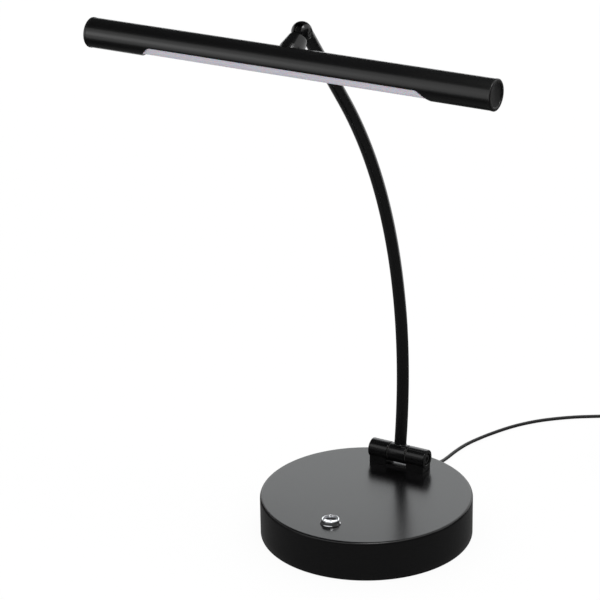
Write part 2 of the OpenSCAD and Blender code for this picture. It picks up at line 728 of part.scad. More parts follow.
module head_neck() {
    flare = neck_foot_r - neck_mouth_r;
    lead_y = neck_lead_offset;
    color(satin_black) difference() {
        union() {
            neck_frame() difference() {
                rotate_extrude() polygon([[0, cup_face], [neck_mouth_r - neck_chamfer, cup_face],
                    [neck_mouth_r, cup_face + neck_chamfer], [neck_foot_r, neck_reach - bar_r],
                    [neck_foot_r, neck_reach], [0, neck_reach]]);
                sphere(r = ball_r + loose);
            }
            at_pivot() translate([-tongue_t / 2, 0, 0]) side_plane() linear_extrude(tongue_t) {
                circle(r = tongue_r);
                rotate([0, 0, 180 + neck_drop]) translate([0, -tongue_half_h])
                    square([ball_r + 3, 2 * tongue_half_h]);
            }
        }
        at_pivot() bar_x(-ball_r, ball_r, cross_screw_r + fit);
        at_bar() bar_x(-bar_len, bar_len, bar_r + 0.02);
        neck_frame() {
            for (s = [-1, 1]) translate([s * neck_screw_x, 0, neck_reach - bar_r - 5.5])
                cylinder(h = bar_r, r = neck_screw_r + fit);
            translate([0, lead_y, 0]) cylinder(h = neck_reach, r = head_lead_r + fit);
        }
    }
}

module tilt_washers() {
    t = slot_half - tongue_t / 2 - 2 * fit;
    color([0.15, 0.15, 0.15]) at_pivot() for (s = [0, 1]) mirror([s, 0, 0])
        translate([tongue_t / 2 + fit, 0, 0]) rotate([0, 90, 0])
            ring(tongue_r - 0.3, cross_screw_r + fit, t);
}

module neck_screws() {
    seat = neck_reach - sqrt(bar_bore_r * bar_bore_r - neck_screw_head_r * neck_screw_head_r);
    color(steel) neck_frame() for (s = [-1, 1]) translate([s * neck_screw_x, 0, 0]) difference() {
        union() {
            translate([0, 0, neck_reach - bar_r - 5])
                cylinder(h = seat - neck_reach + bar_r + 5 + small, r = neck_screw_r);
            translate([0, 0, seat]) cylinder(h = neck_screw_head_h, r = neck_screw_head_r);
        }
        translate([-2, -0.3, seat + neck_screw_head_h - 0.8]) cube([4, 0.6, 2]);
    }
}

// ---------------------------------------------------------------- light bar

module bar_tube() {
    color(satin_black) difference() {
        at_bar() side_plane() linear_extrude(bar_tube_len, center = true) difference() {
            circle(r = bar_r);
            circle(r = bar_bore_r);
        }
        at_bar() translate([0, 0, -2 * bar_r]) linear_extrude(2 * bar_r - window_drop) {
            square([window_len - window_w, window_w], center = true);
            for (s = [-1, 1]) translate([s * (window_len - window_w) / 2, 0]) circle(r = window_w / 2);
        }
        neck_frame() {
            for (s = [-1, 1]) translate([s * neck_screw_x, 0, neck_reach - bar_r - 2])
                cylinder(h = bar_r / 2, r = neck_screw_r + fit);
            translate([0, neck_lead_offset, neck_reach - bar_r - 2])
                cylinder(h = bar_r / 2 + 2, r = head_lead_r + fit);
        }
    }
}

module bar_carrier() {
    plate = 2;
    rib = 1.4;
    rib_y = 6;
    color([0.7, 0.7, 0.72]) difference() {
        at_bar() side_plane() linear_extrude(carrier_len, center = true) intersection() {
            circle(r = carrier_r);
            union() {
                translate([-carrier_r, carrier_z]) square([2 * carrier_r, plate]);
                for (y = [-rib_y, 0, rib_y]) translate([y - rib / 2, carrier_z]) square([rib, carrier_r]);
            }
        }
        at_bar() translate([-carrier_gap / 2, -1, carrier_z + plate]) cube([carrier_gap, 2 * bar_r, bar_r]);
        at_bar() translate([-carrier_gap / 2, led_board_w / 2 + 1.2, carrier_z - 1])
            cube([carrier_gap, bar_r, bar_r]);
        at_bar() translate([0, 1, carrier_z - 1]) cylinder(h = bar_r, r = head_lead_r + 0.4);
    }
}

module led_board() {
    color([0.9, 0.9, 0.88]) at_bar() translate([0, 0, carrier_z - led_board_t / 2])
        cube([led_board_len, led_board_w, led_board_t], center = true);
}

module led_chips() {
    color([0.95, 0.85, 0.3]) at_bar() for (i = [0:led_count - 1])
        translate([(i - (led_count - 1) / 2) * led_pitch, 0, carrier_z - led_board_t - led_size.z / 2])
            cube(led_size, center = true);
}

module bar_diffuser() {
    r = bar_bore_r - fit;
    color([0.8, 0.79, 0.82]) at_bar() side_plane() linear_extrude(diffuser_len, center = true)
        difference() {
            circle(r = r);
            circle(r = r - diffuser_wall);
            translate([-bar_r, diffuser_top]) square([2 * bar_r, bar_r]);
        }
}

// A turned cap with a rim, an inset middle and a plug that fits the tube
module end_cap() {
    color(satin_black) at_bar() turned_x([
        [bar_tube_len / 2 - cap_plug_len, 0], [bar_tube_len / 2 - cap_plug_len, cap_plug_r - 2],
        [bar_tube_len / 2 - cap_plug_len + 0.5, cap_plug_r - 0.3],
        [bar_tube_len / 2 - cap_plug_len + 1.2, cap_plug_r], [bar_tube_len / 2, cap_plug_r],
        [bar_tube_len / 2, cap_flange_r], [bar_len / 2 - 0.5, cap_flange_r],
        [bar_len / 2, cap_flange_r - 0.5], [bar_len / 2, cap_inset_r + 0.3],
        [bar_len / 2 - 0.3, cap_inset_r], [bar_len / 2 - cap_inset_depth, cap_inset_r],
        [bar_len / 2 - cap_inset_depth, 0]]);
}

module end_cap_left() { mirror([1, 0, 0]) end_cap(); }
module end_cap_right() { end_cap(); }

module head_lead() {
    along = [0, -cos(neck_drop), -sin(neck_drop)];
    side = neck_lead_offset * [0, -sin(neck_drop), cos(neck_drop)];
    pivot = [0, pivot_y, pivot_z];
    color([0.85, 0.85, 0.85]) wire([pivot + side + (ball_r + 1) * along,
        pivot + side + (neck_reach - 5) * along, [0, bar_y + 1, bar_z + carrier_z + 0.05]],
        head_lead_r, 2, 6, [1, 0, 0]);
}

// ---------------------------------------------------------------- cord, coil and power adaptor

// A smooth curve through the chosen points, two steps to each
function between(p, i, t) = let (a = p[max(i - 1, 0)], b = p[i], c = p[i + 1], d = p[min(i + 2, len(p) - 1)])
    0.5 * (2 * b + (c - a) * t + (2 * a - 5 * b + 4 * c - d) * t * t + (3 * b - a - 3 * c + d) * t * t * t);
function smooth_path(p, steps) = [for (i = [0:len(p) - 2], s = [0:steps - 1]) between(p, i, s / steps),
    p[len(p) - 1]];

// The coil: it spirals in and out by layers, climbs in the half turn where it reverses, then runs to the plug
coil_turns = coil_layers * coil_per_layer;
function coil_radius(t) = let (u = min(t, coil_turns) % (2 * coil_per_layer))
    (t >= coil_turns) ? coil_out_r + coil_pitch * (t - coil_turns) : (u < coil_per_layer) ? coil_out_r - coil_pitch * u
        : coil_in_r + coil_pitch * (u - coil_per_layer);
function ease(x) = let (c = min(max(x, 0), 1)) c * c * (3 - 2 * c);
function coil_height(t) = coil_z + coil_pitch * ([for (k = [1:coil_layers - 1]) 1]
    * [for (k = [1:coil_layers - 1]) ease((t - k * coil_per_layer) * 2 + 0.5)]);
function coil_point(t) = [coil_x + coil_radius(t) * sin(360 * t), coil_y + coil_radius(t) * cos(360 * t),
    coil_height(t)];
coil_rings = 24;
tail_end = adaptor_y + adaptor_relief_len;
coil_path = concat(
    [[coil_x - cord_d, coil_y + coil_out_r, coil_z], [coil_x - cord_d / 2, coil_y + coil_out_r, coil_z]],
    [for (i = [0:(coil_turns + 0.25) * coil_rings]) coil_point(i / coil_rings)],
    [for (f = [0.3, 0.65, 0.9, 1]) [adaptor_x, coil_y + (tail_end - coil_y) * f, coil_top_z]]);

// Least gap between stretches of the coil that are more than half a turn apart along it
coil_gap = min([for (i = [0:3:len(coil_path) - 15]) min([for (j = [i + 14:len(coil_path) - 1])
    norm(coil_path[i] - coil_path[j])])
    ]) - cord_d;
cord_points = smooth_path(cord_path, 2);
function path_length(p) = len(p) < 2 ? 0 : [for (i = [1:len(p) - 1]) 1]
    * [for (i = [1:len(p) - 1]) norm(p[i] - p[i - 1])];
echo(coil_gap_mm = coil_gap, free_cord_mm = path_length(cord_points), coil_mm = path_length(coil_path));

module cable_gland() {
    wall_in = cover_inner_r - 0.3;
    waist = gland_waist_r;
    passes = relief_len + 12;
    groove_r = 8;
    color(deep_black) translate([0, 0, exit_z]) rotate([-90, 0, 0]) difference() {
        rotate_extrude() polygon([[0, wall_in - 2], [gland_flange_r, wall_in - 2],
            [gland_flange_r, wall_in], [waist, wall_in],
            [waist, base_r], [5, base_r], [5, base_r + 1.2], [3.4, base_r + 2],
            [cord_r + 0.7, base_r + relief_len], [0, base_r + relief_len]]);
        translate([0, 0, wall_in - 4]) cylinder(h = passes, r = cord_r + 0.02);
        for (i = [0:3]) translate([0, 0, base_r + 4.5 + 3.2 * i]) ring(groove_r, 2.4 + 0.1 * (3 - i), 1);
    }
}

module inner_lead() {
    low = weight_top + cord_r + 0.1;
    side_x = -24;
    climb_y = 24;
    up_y = lead_bend_y - 20;
    inlet_z = board_z + board_t + 2.5;
    color(deep_black) wire([[0, exit_y, exit_z], [0, lead_bend_y, exit_z], [-10, up_y, low], [side_x, climb_y, low],
        [side_x, 0, inlet_z], [board_x - board_size.x / 2 - 0.05, 0, inlet_z]], cord_r, 4, 8);
}

module cord() { color(deep_black) swept_tube(cord_points, cord_r, 8); }
module cord_coil() { color(deep_black) swept_tube(coil_path, cord_r, 6); }

module coil_tie() {
    inner = coil_in_r + coil_pitch / 2 - cord_r - 0.7 - tie_gap;
    outer = coil_out_r - coil_pitch / 2 + cord_r + tie_gap;
    low = coil_z - cord_r - tie_gap;
    high = coil_top_z + cord_r + tie_gap;
    color([0.06, 0.06, 0.06]) translate([coil_x - tie_w / 2, coil_y, 0]) rotate([90, 0, 90])
        linear_extrude(tie_w) difference() {
            translate([-outer - tie_t, low - tie_t])
                square([outer - inner + 2 * tie_t, high - low + 2 * tie_t]);
            translate([-outer, low]) square([outer - inner, high - low]);
        }
}

module adaptor_body() {
    seam = 0.5;
    color([0.05, 0.05, 0.05]) translate([adaptor_x, adaptor_y - adaptor_len / 2, 0]) {
        linear_extrude(adaptor_h / 2 - seam) round_rect([adaptor_w, adaptor_len], 5);
        linear_extrude(adaptor_h) round_rect([adaptor_w - 1, adaptor_len - 1], 4.5);
        translate([0, 0, adaptor_h / 2]) linear_extrude(adaptor_h / 2 - 1)
            round_rect([adaptor_w, adaptor_len], 5);
        translate([0, 4, adaptor_h - small]) linear_extrude(2 + small) round_rect([26, 13], 5);
    }
}

module adaptor_relief() {
    color(deep_black) translate([adaptor_x, adaptor_y, coil_top_z]) rotate([-90, 0, 0]) difference() {
        rotate_extrude() polygon([[0, 0], [4, 0], [cord_r + 0.6, adaptor_relief_len - 2],
            [cord_r + 0.6, adaptor_relief_len], [0, adaptor_relief_len]]);
        for (i = [0:1]) translate([0, 0, 2.4 + 2.6 * i]) ring(8, 2.2, 1);
    }
}

module adaptor_pins() {
    color(steel) for (s = [-1, 1])
        translate([adaptor_x + s * pin_pitch / 2, adaptor_y - adaptor_len / 2 + 4, adaptor_h + 2])
            rotate_extrude() polygon([[0, 0], [2, 0], [2, pin_len - 1.2], [1.2, pin_len], [0, pin_len]]);
}

// ---------------------------------------------------------------- the nodes

base_cover();
base_weight();
base_plate();
base_pad();
plate_screws();
driver_board();
board_spacers();
board_screws();
base_wires();
switch_bezel();
switch_seal();
switch_nut();
switch_body();
switch_spring();
switch_button();
hinge_block();
block_screws();
hinge_bolt();
hinge_nut();
hinge_spring_washers();
friction_washers();
arm_knuckle();
arm_tube();
arm_wires();
arm_ball();
cross_screw();
head_neck();
tilt_washers();
neck_screws();
bar_tube();
bar_carrier();
led_board();
led_chips();
bar_diffuser();
end_cap_left();
end_cap_right();
head_lead();
cable_gland();
inner_lead();
cord();
cord_coil();
coil_tie();
adaptor_body();
adaptor_relief();
adaptor_pins();
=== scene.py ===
"""Looks of the piano lamp: satin black base, arm and light bar, a chrome push switch and a black cord.

Each sub-assembly is a class that holds its sizes in millimetres, builds its surfaces as numpy grids
and dresses them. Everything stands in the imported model's own frame, in metres.
"""
from __future__ import annotations

import json
import logging
import math
from collections.abc import Sequence
from dataclasses import dataclass
from enum import Enum

import bmesh
import bpy
import numpy as np
from mathutils import Matrix, Vector

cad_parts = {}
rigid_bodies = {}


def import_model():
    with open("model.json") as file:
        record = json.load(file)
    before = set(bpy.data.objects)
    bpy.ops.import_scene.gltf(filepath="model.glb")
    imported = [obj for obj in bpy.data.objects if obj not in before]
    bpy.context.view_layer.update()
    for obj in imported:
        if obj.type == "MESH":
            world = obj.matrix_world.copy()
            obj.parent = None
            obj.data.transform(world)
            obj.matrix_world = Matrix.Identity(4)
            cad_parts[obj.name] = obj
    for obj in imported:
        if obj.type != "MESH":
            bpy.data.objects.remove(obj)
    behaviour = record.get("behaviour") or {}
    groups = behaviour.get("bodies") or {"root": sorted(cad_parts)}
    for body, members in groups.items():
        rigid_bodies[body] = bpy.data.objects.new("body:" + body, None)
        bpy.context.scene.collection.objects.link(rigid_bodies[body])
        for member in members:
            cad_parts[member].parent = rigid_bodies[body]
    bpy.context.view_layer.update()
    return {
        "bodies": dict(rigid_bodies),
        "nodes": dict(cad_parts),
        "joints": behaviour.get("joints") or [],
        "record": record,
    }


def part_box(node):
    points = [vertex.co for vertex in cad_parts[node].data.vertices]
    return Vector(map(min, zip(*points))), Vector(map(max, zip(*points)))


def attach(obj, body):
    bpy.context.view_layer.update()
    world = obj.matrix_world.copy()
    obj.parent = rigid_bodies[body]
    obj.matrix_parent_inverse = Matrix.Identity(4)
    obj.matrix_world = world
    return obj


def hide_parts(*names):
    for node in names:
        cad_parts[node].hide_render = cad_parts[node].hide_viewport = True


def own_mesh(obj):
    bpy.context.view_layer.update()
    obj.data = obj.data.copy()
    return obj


LOG = logging.getLogger("piano_lamp")
MM = 0.001
SHUT = 1000.0  # as the distance of a carried row, closes it on the outline's middle
X_AXIS, Y_AXIS, Z_AXIS = np.eye(3)


# ------------------------------------------------------------------ surfaces


@dataclass(frozen=True)
class Placement:
    """A local frame: three unit directions as columns, and an origin in millimetres."""

    turn: np.ndarray
    origin: np.ndarray

    def __call__(self, points: np.ndarray) -> np.ndarray:
        """Puts local points into the lamp's frame.

        Args:
            points: an (n, 3) array in the local frame.

        Returns:
            The same points in the lamp's frame.
        """
        return points @ self.turn.T + self.origin


def placed(origin: tuple[float, float, float], tilt: float = 0.0) -> Placement:
    """Makes a frame that is turned about the X axis.

    Args:
        origin: where the local origin stands, in millimetres.
        tilt: the turn about +X in degrees.

    Returns:
        The placement.
    """
    c, s = math.cos(math.radians(tilt)), math.sin(math.radians(tilt))
    return Placement(np.array([[1, 0, 0], [0, c, -s], [0, s, c]]), np.array(origin, float))


def along_x(origin: tuple[float, float, float]) -> Placement:
    """Makes a frame whose local Z runs along the lamp's X, for pieces turned about X."""
    return Placement(np.column_stack([Y_AXIS, Z_AXIS, X_AXIS]), np.array(origin, float))


@dataclass
class Surface:
    """Points in millimetres and the faces between them."""

    points: np.ndarray
    faces: list[tuple[int, ...]]

    def moved(self, place: Placement) -> "Surface":
        """Returns the surface in another frame."""
        return Surface(place(self.points), self.faces)

    def __add__(self, other: "Surface") -> "Surface":
        """Joins two surfaces into one, side by side."""
        n = len(self.points)
        shifted = [tuple(i + n for i in f) for f in other.faces]
        return Surface(np.vstack([self.points, other.points]), self.faces + shifted)


def grid_faces(rows: int, columns: int, close_rows: bool, close_columns: bool) -> list[tuple[int, ...]]:
    """Quads between the points of a grid that is stored row by row.

    Args:
        rows: number of rows.
        columns: number of points in a row.
        close_rows: whether the last row joins the first.
        close_columns: whether each row closes on itself.

    Returns:
        The quads as index tuples.
    """
    i = np.arange(rows if close_rows else rows - 1)[:, None]
    j = np.arange(columns if close_columns else columns - 1)[None, :]
    a = i * columns + j
    b = i * columns + (j + 1) % columns
    c = ((i + 1) % rows) * columns + (j + 1) % columns
    d = ((i + 1) % rows) * columns + j
    return [tuple(f) for f in np.stack([a, b, c, d], -1).reshape(-1, 4).tolist()]


def softened(profile: list[tuple[float, float]], radius: float, steps: int = 4) -> np.ndarray:
    """Rounds the corners of an open profile with short arcs.

    Each corner is replaced by a quadratic curve that starts and ends at the radius, or at 45% of the
    shorter neighbouring side where that is less.

    Args:
        profile: corner points.
        radius: distance from the corner at which the rounding starts, in millimetres.
        steps: number of segments in each rounding.

    Returns:
        The rounded profile as an (n, 2) array.
    """
    p = np.array(profile, float)
    before, after = p[:-2] - p[1:-1], p[2:] - p[1:-1]
    lb, la = np.linalg.norm(before, axis=1), np.linalg.norm(after, axis=1)
    cut = np.minimum(radius, 0.45 * np.minimum(lb, la))
    start = p[1:-1] + before * (cut / lb)[:, None]
    end = p[1:-1] + after * (cut / la)[:, None]
    t = np.linspace(0, 1, steps + 1)[None, :, None]
    curve = (1 - t) ** 2 * start[:, None] + 2 * t * (1 - t) * p[1:-1][:, None] + t**2 * end[:, None]
    return np.vstack([p[:1], curve.reshape(-1, 2), p[-1:]])


def turned(profile: np.ndarray, sides: int = 96) -> Surface:
    """A solid of revolution about local Z: point = (r cos a, r sin a, z) for each profile point (r, z).

    Args:
        profile: (n, 2) array of radius and height; ends at radius 0 close the solid.
        sides: number of points round the axis.

    Returns:
        The surface.
    """
    a = np.linspace(0, 2 * np.pi, sides, endpoint=False)
    r, z = profile[:, :1], profile[:, 1:]
    points = np.stack([r * np.cos(a), r * np.sin(a), z + 0 * a], -1)
    closed = bool(np.allclose(profile[0], profile[-1]))
    if closed:
        points = points[:-1]
    return Surface(points.reshape(-1, 3), grid_faces(len(points), sides, closed, True))


def swept(path: np.ndarray, radius: np.ndarray | float, sides: int, aside: np.ndarray = Z_AXIS) -> Surface:
    """A round tube along a path: point = path + r (cos a across + sin a up), square to the path.

    The two ends are closed by a last ring of no radius.

    Args:
        path: (n, 3) array of points.
        radius: one radius, or one for each point.
        sides: number of points round the tube.
        aside: a direction that the path never takes.

    Returns:
        The surface.
    """
    way = np.gradient(path, axis=0)
    way /= np.linalg.norm(way, axis=1)[:, None]
    across = np.cross(way, aside)
    across /= np.linalg.norm(across, axis=1)[:, None]
    up = np.cross(across, way)
    a = np.linspace(0, 2 * np.pi, sides, endpoint=False)[None, :, None]
    r = np.broadcast_to(np.asarray(radius, float).reshape(-1, 1, 1), (len(path), 1, 1))
    rings = path[:, None] + r * (np.cos(a) * across[:, None] + np.sin(a) * up[:, None])
    first, last = np.repeat(path[:1], sides, 0)[None], np.repeat(path[-1:], sides, 0)[None]
    points = np.concatenate([first, rings, last])
    return Surface(points.reshape(-1, 3), grid_faces(len(points), sides, False, True))


def carried(outline: np.ndarray, rows: list[tuple[float, float]]) -> Surface:
    """A closed outline carried up local Z, drawn in towards its middle by a distance at each row.

    point = outline - inward * distance, with inward the unit normal of the outline at that point.

    Args:
        outline: (n, 2) array of points, anticlockwise.
        rows: (height, distance) pairs; the distance SHUT closes the row on the outline's mean.

    Returns:
        The surface.
    """
    side = np.roll(outline, -1, 0) - np.roll(outline, 1, 0)
    inward = np.stack([-side[:, 1], side[:, 0]], -1)
    inward /= np.linalg.norm(inward, axis=1)[:, None]
    middle = outline.mean(0)
    rings = [np.column_stack([middle + 0 * outline if d >= SHUT else outline + inward * d,
                              np.full(len(outline), z)]) for z, d in rows]
    points = np.stack(rings)
    return Surface(points.reshape(-1, 3), grid_faces(len(rows), len(outline), False, True))


def round_rect(width: float, depth: float, radius: float, steps: int = 10) -> np.ndarray:
    """Outline of a rectangle with round corners, anticlockwise, middle at the origin.

    Args:
        width: size along X.
        depth: size along Y.
        radius: corner radius.
        steps: segments in each corner.

    Returns:
        (n, 2) points.
    """
    t = np.linspace(0, np.pi / 2, steps + 1)
    quarter = np.stack([np.cos(t), np.sin(t)], -1) * radius
    spots = np.array([(1, 1), (-1, 1), (-1, -1), (1, -1)], float)
    spins = [np.array([[1, 0], [0, 1]]), np.array([[0, -1], [1, 0]]), -np.eye(2), np.array([[0, 1], [-1, 0]])]
    half = np.array([width / 2 - radius, depth / 2 - radius])
    return np.vstack([quarter @ q.T + s * half for s, q in zip(spots, spins)])


# ------------------------------------------------------------------ finishes


class Sheen(Enum):
    """How a surface answers light."""

    PAINT = "paint"
    METAL = "metal"
    RUBBER = "rubber"
    PLASTIC = "plastic"


def socket(group: bpy.types.NodeTree, name: str, way: str, kind: str, value: object = None) -> None:
    """Adds a named socket to a node group.

    Args:
        group: the group.
        name: the socket's name.
        way: INPUT or OUTPUT.
        kind: Blender's socket type.
        value: the default, if it has one.
    """
    made = group.interface.new_socket(name=name, in_out=way, socket_type=kind)
    if value is not None:
        made.default_value = value


class Effects:
    """Shader node groups that several finishes share, each built once."""

    def __init__(self) -> None:
        """Builds the groups."""
        self.grain = self._grain()
        self.tone = self._tone()

    @staticmethod
    def _grain() -> bpy.types.NodeTree:
        """Fine skin of a coated or moulded surface.

        Height = two sizes of noise added, the fine one at 30%. Roughness = the given one, a little
        more where the coarse noise is high.

        Returns:
            The node group.
        """
        g = bpy.data.node_groups.new("Surface grain", "ShaderNodeTree")
        socket(g, "Vector", "INPUT", "NodeSocketVector")
        socket(g, "Scale", "INPUT", "NodeSocketFloat", 900.0)
        socket(g, "Roughness", "INPUT", "NodeSocketFloat", 0.3)
        socket(g, "Variation", "INPUT", "NodeSocketFloat", 0.05)
        socket(g, "Height", "OUTPUT", "NodeSocketFloat")
        socket(g, "Roughness", "OUTPUT", "NodeSocketFloat")
        n, l = g.nodes, g.links
        inn, out = n.new("NodeGroupInput"), n.new("NodeGroupOutput")
        coarse, fine = n.new("ShaderNodeTexNoise"), n.new("ShaderNodeTexNoise")
        more = n.new("ShaderNodeMath")
        more.operation = "MULTIPLY"
        more.inputs[1].default_value = 3.7
        coarse.inputs["Detail"].default_value = 3
        fine.inputs["Detail"].default_value = 2
        l.new(inn.outputs["Vector"], coarse.inputs["Vector"])
        l.new(inn.outputs["Vector"], fine.inputs["Vector"])
        l.new(inn.outputs["Scale"], coarse.inputs["Scale"])
        l.new(inn.outputs["Scale"], more.inputs[0])
        l.new(more.outputs[0], fine.inputs["Scale"])
        blend = n.new("ShaderNodeMix")
        blend.data_type = "FLOAT"
        blend.inputs["Factor"].default_value = 0.3
        l.new(coarse.outputs["Fac"], blend.inputs["A"])
        l.new(fine.outputs["Fac"], blend.inputs["B"])
        l.new(blend.outputs["Result"], out.inputs["Height"])
        slow = n.new("ShaderNodeTexNoise")
        slow.inputs["Scale"].default_value = 14
        slow.inputs["Detail"].default_value = 4
        l.new(inn.outputs["Vector"], slow.inputs["Vector"])
        spread = n.new("ShaderNodeMath")
        spread.operation = "MULTIPLY_ADD"
        l.new(slow.outputs["Fac"], spread.inputs[0])
        l.new(inn.outputs["Variation"], spread.inputs[1])
        l.new(inn.outputs["Roughness"], spread.inputs[2])
        l.new(spread.outputs[0], out.inputs["Roughness"])
        return g

    @staticmethod
    def _tone() -> bpy.types.NodeTree:
        """Slow drift of colour: the result lies between two colours by a soft noise.

        Returns:
            The node group.
        """
        g = bpy.data.node_groups.new("Colour drift", "ShaderNodeTree")
        socket(g, "Vector", "INPUT", "NodeSocketVector")
        socket(g, "Scale", "INPUT", "NodeSocketFloat", 20.0)
        socket(g, "First", "INPUT", "NodeSocketColor", (0.5, 0.5, 0.5, 1))
        socket(g, "Second", "INPUT", "NodeSocketColor", (0.6, 0.6, 0.6, 1))
        socket(g, "Color", "OUTPUT", "NodeSocketColor")
        n, l = g.nodes, g.links
        inn, out = n.new("NodeGroupInput"), n.new("NodeGroupOutput")
        noise = n.new("ShaderNodeTexNoise")
        noise.inputs["Detail"].default_value = 5
        l.new(inn.outputs["Vector"], noise.inputs["Vector"])
        l.new(inn.outputs["Scale"], noise.inputs["Scale"])
        mix = n.new("ShaderNodeMix")
        mix.data_type = "RGBA"
        l.new(noise.outputs["Fac"], mix.inputs["Factor"])
        l.new(inn.outputs["First"], mix.inputs["A"])
        l.new(inn.outputs["Second"], mix.inputs["B"])
        l.new(mix.outputs["Result"], out.inputs["Color"])
        return g


@dataclass(frozen=True)
class Finish:
    """One material: its colours, gloss and grain."""

    name: str
    first: tuple[float, float, float]
    second: tuple[float, float, float]
    roughness: float
    sheen: Sheen = Sheen.PAINT
    grain_scale: float = 900.0
    grain_height: float = 0.02
    variation: float = 0.05
    tone_scale: float = 20.0
    ior: float = 1.5
    subsurface: float = 0.0

    def build(self, effects: Effects) -> bpy.types.Material:
        """Makes the material.

        Args:
            effects: the shared node groups.

        Returns:
            The material.
        """
        m = bpy.data.materials.new(self.name)
        m.use_nodes = True
        n, l = m.node_tree.nodes, m.node_tree.links
        shader = n["Principled BSDF"]
        where = n.new("ShaderNodeTexCoord").outputs["Object"]
        grain = n.new("ShaderNodeGroup")
        grain.node_tree = effects.grain
        grain.inputs["Scale"].default_value = self.grain_scale
        grain.inputs["Roughness"].default_value = self.roughness
        grain.inputs["Variation"].default_value = self.variation
        tone = n.new("ShaderNodeGroup")
        tone.node_tree = effects.tone
        tone.inputs["Scale"].default_value = self.tone_scale
        tone.inputs["First"].default_value = (*self.first, 1)
        tone.inputs["Second"].default_value = (*self.second, 1)
        l.new(where, grain.inputs["Vector"])
        l.new(where, tone.inputs["Vector"])
        l.new(tone.outputs["Color"], shader.inputs["Base Color"])
        l.new(grain.outputs["Roughness"], shader.inputs["Roughness"])
        if self.grain_height > 0:
            bump = n.new("ShaderNodeBump")
            bump.inputs["Strength"].default_value = self.grain_height
            bump.inputs["Distance"].default_value = 0.0005
            l.new(grain.outputs["Height"], bump.inputs["Height"])
            l.new(bump.outputs["Normal"], shader.inputs["Normal"])
        shader.inputs["Metallic"].default_value = 1.0 if self.sheen is Sheen.METAL else 0.0
        shader.inputs["IOR"].default_value = self.ior
        shader.inputs["Subsurface Weight"].default_value = self.subsurface
        if self.subsurface:
            shader.inputs["Subsurface Scale"].default_value = 0.002
        return m


class Palette:
    """Every finish of the lamp, by the name of what it covers."""

    enamel = Finish("Satin black enamel", (0.0016, 0.0016, 0.0018), (0.0022, 0.0022, 0.0024), 0.2,
                    grain_scale=1400, grain_height=0.012, variation=0.05)
    bar_coat = Finish("Black coated tube", (0.0018, 0.0018, 0.002), (0.0026, 0.0026, 0.0028), 0.25,
                      grain_scale=1600, grain_height=0.02, variation=0.06)
    cap = Finish("Black end cap", (0.0022, 0.0022, 0.0022), (0.003, 0.003, 0.003), 0.28, Sheen.PLASTIC,
                 grain_scale=1500, grain_height=0.02)
    chrome = Finish("Polished chrome", (0.78, 0.79, 0.81), (0.81, 0.82, 0.84), 0.04, Sheen.METAL,
                    grain_scale=600, grain_height=0.0, variation=0.02)
    opal = Finish("Opal diffuser, unlit", (0.5, 0.48, 0.54), (0.53, 0.51, 0.57), 0.35, Sheen.PLASTIC,
                  grain_scale=1200, grain_height=0.01, subsurface=0.3)
    cord = Finish("Cord sheath", (0.008, 0.008, 0.008), (0.012, 0.012, 0.012), 0.42, Sheen.RUBBER,
                  grain_scale=2200, grain_height=0.05)
    moulding = Finish("Adaptor moulding", (0.012, 0.012, 0.012), (0.016, 0.016, 0.016), 0.45, Sheen.PLASTIC,
                      grain_scale=1800, grain_height=0.25, variation=0.1)
    pad = Finish("Soft foot pad", (0.02, 0.02, 0.02), (0.03, 0.03, 0.03), 0.85, Sheen.RUBBER,
                 grain_scale=1100, grain_height=0.5)
    iron = Finish("Cast iron", (0.05, 0.048, 0.045), (0.08, 0.075, 0.07), 0.6, Sheen.METAL,
                  grain_scale=500, grain_height=0.6, variation=0.2)
    zinc = Finish("Zinc plate", (0.45, 0.46, 0.48), (0.58, 0.58, 0.56), 0.3, Sheen.METAL,
                  grain_scale=700, grain_height=0.05, variation=0.15)
    black_screw = Finish("Blackened screw", (0.006, 0.006, 0.006), (0.012, 0.012, 0.012), 0.3,
                         grain_scale=1500, grain_height=0.03)
    aluminium = Finish("Plain aluminium", (0.6, 0.6, 0.62), (0.7, 0.7, 0.72), 0.32, Sheen.METAL,
                       grain_scale=900, grain_height=0.04, variation=0.1)
    white_mask = Finish("White board", (0.75, 0.75, 0.73), (0.8, 0.8, 0.78), 0.4, Sheen.PLASTIC,
                        grain_scale=900, grain_height=0.02)
    green_mask = Finish("Green board", (0.01, 0.09, 0.035), (0.015, 0.12, 0.05), 0.35, Sheen.PLASTIC,
                        grain_scale=900, grain_height=0.05)
    phosphor = Finish("Phosphor", (0.75, 0.55, 0.08), (0.8, 0.62, 0.12), 0.3, Sheen.PLASTIC,
                      grain_scale=900, grain_height=0.02)
    nylon = Finish("Natural nylon", (0.7, 0.68, 0.6), (0.75, 0.73, 0.66), 0.5, Sheen.PLASTIC,
                   grain_scale=900, grain_height=0.05)
    fibre = Finish("Fibre washer", (0.02, 0.019, 0.018), (0.035, 0.033, 0.03), 0.7, Sheen.PLASTIC,
                   grain_scale=1500, grain_height=0.4)
    red_wire = Finish("Red wire", (0.35, 0.012, 0.01), (0.4, 0.02, 0.015), 0.4, Sheen.RUBBER,
                      grain_scale=1500, grain_height=0.03)
    grey_wire = Finish("Grey wire", (0.3, 0.3, 0.3), (0.35, 0.35, 0.35), 0.4, Sheen.RUBBER,
                       grain_scale=1500, grain_height=0.03)

    def __init__(self) -> None:
        """Builds the shared effects; each material is built when it is first asked for."""
        self._effects = Effects()
        self._made: dict[str, bpy.types.Material] = {}

    def of(self, finish: Finish) -> bpy.types.Material:
        """Returns the finish's material, built once."""
        if finish.name not in self._made:
            self._made[finish.name] = finish.build(self._effects)
        return self._made[finish.name]


# ------------------------------------------------------------------ pieces


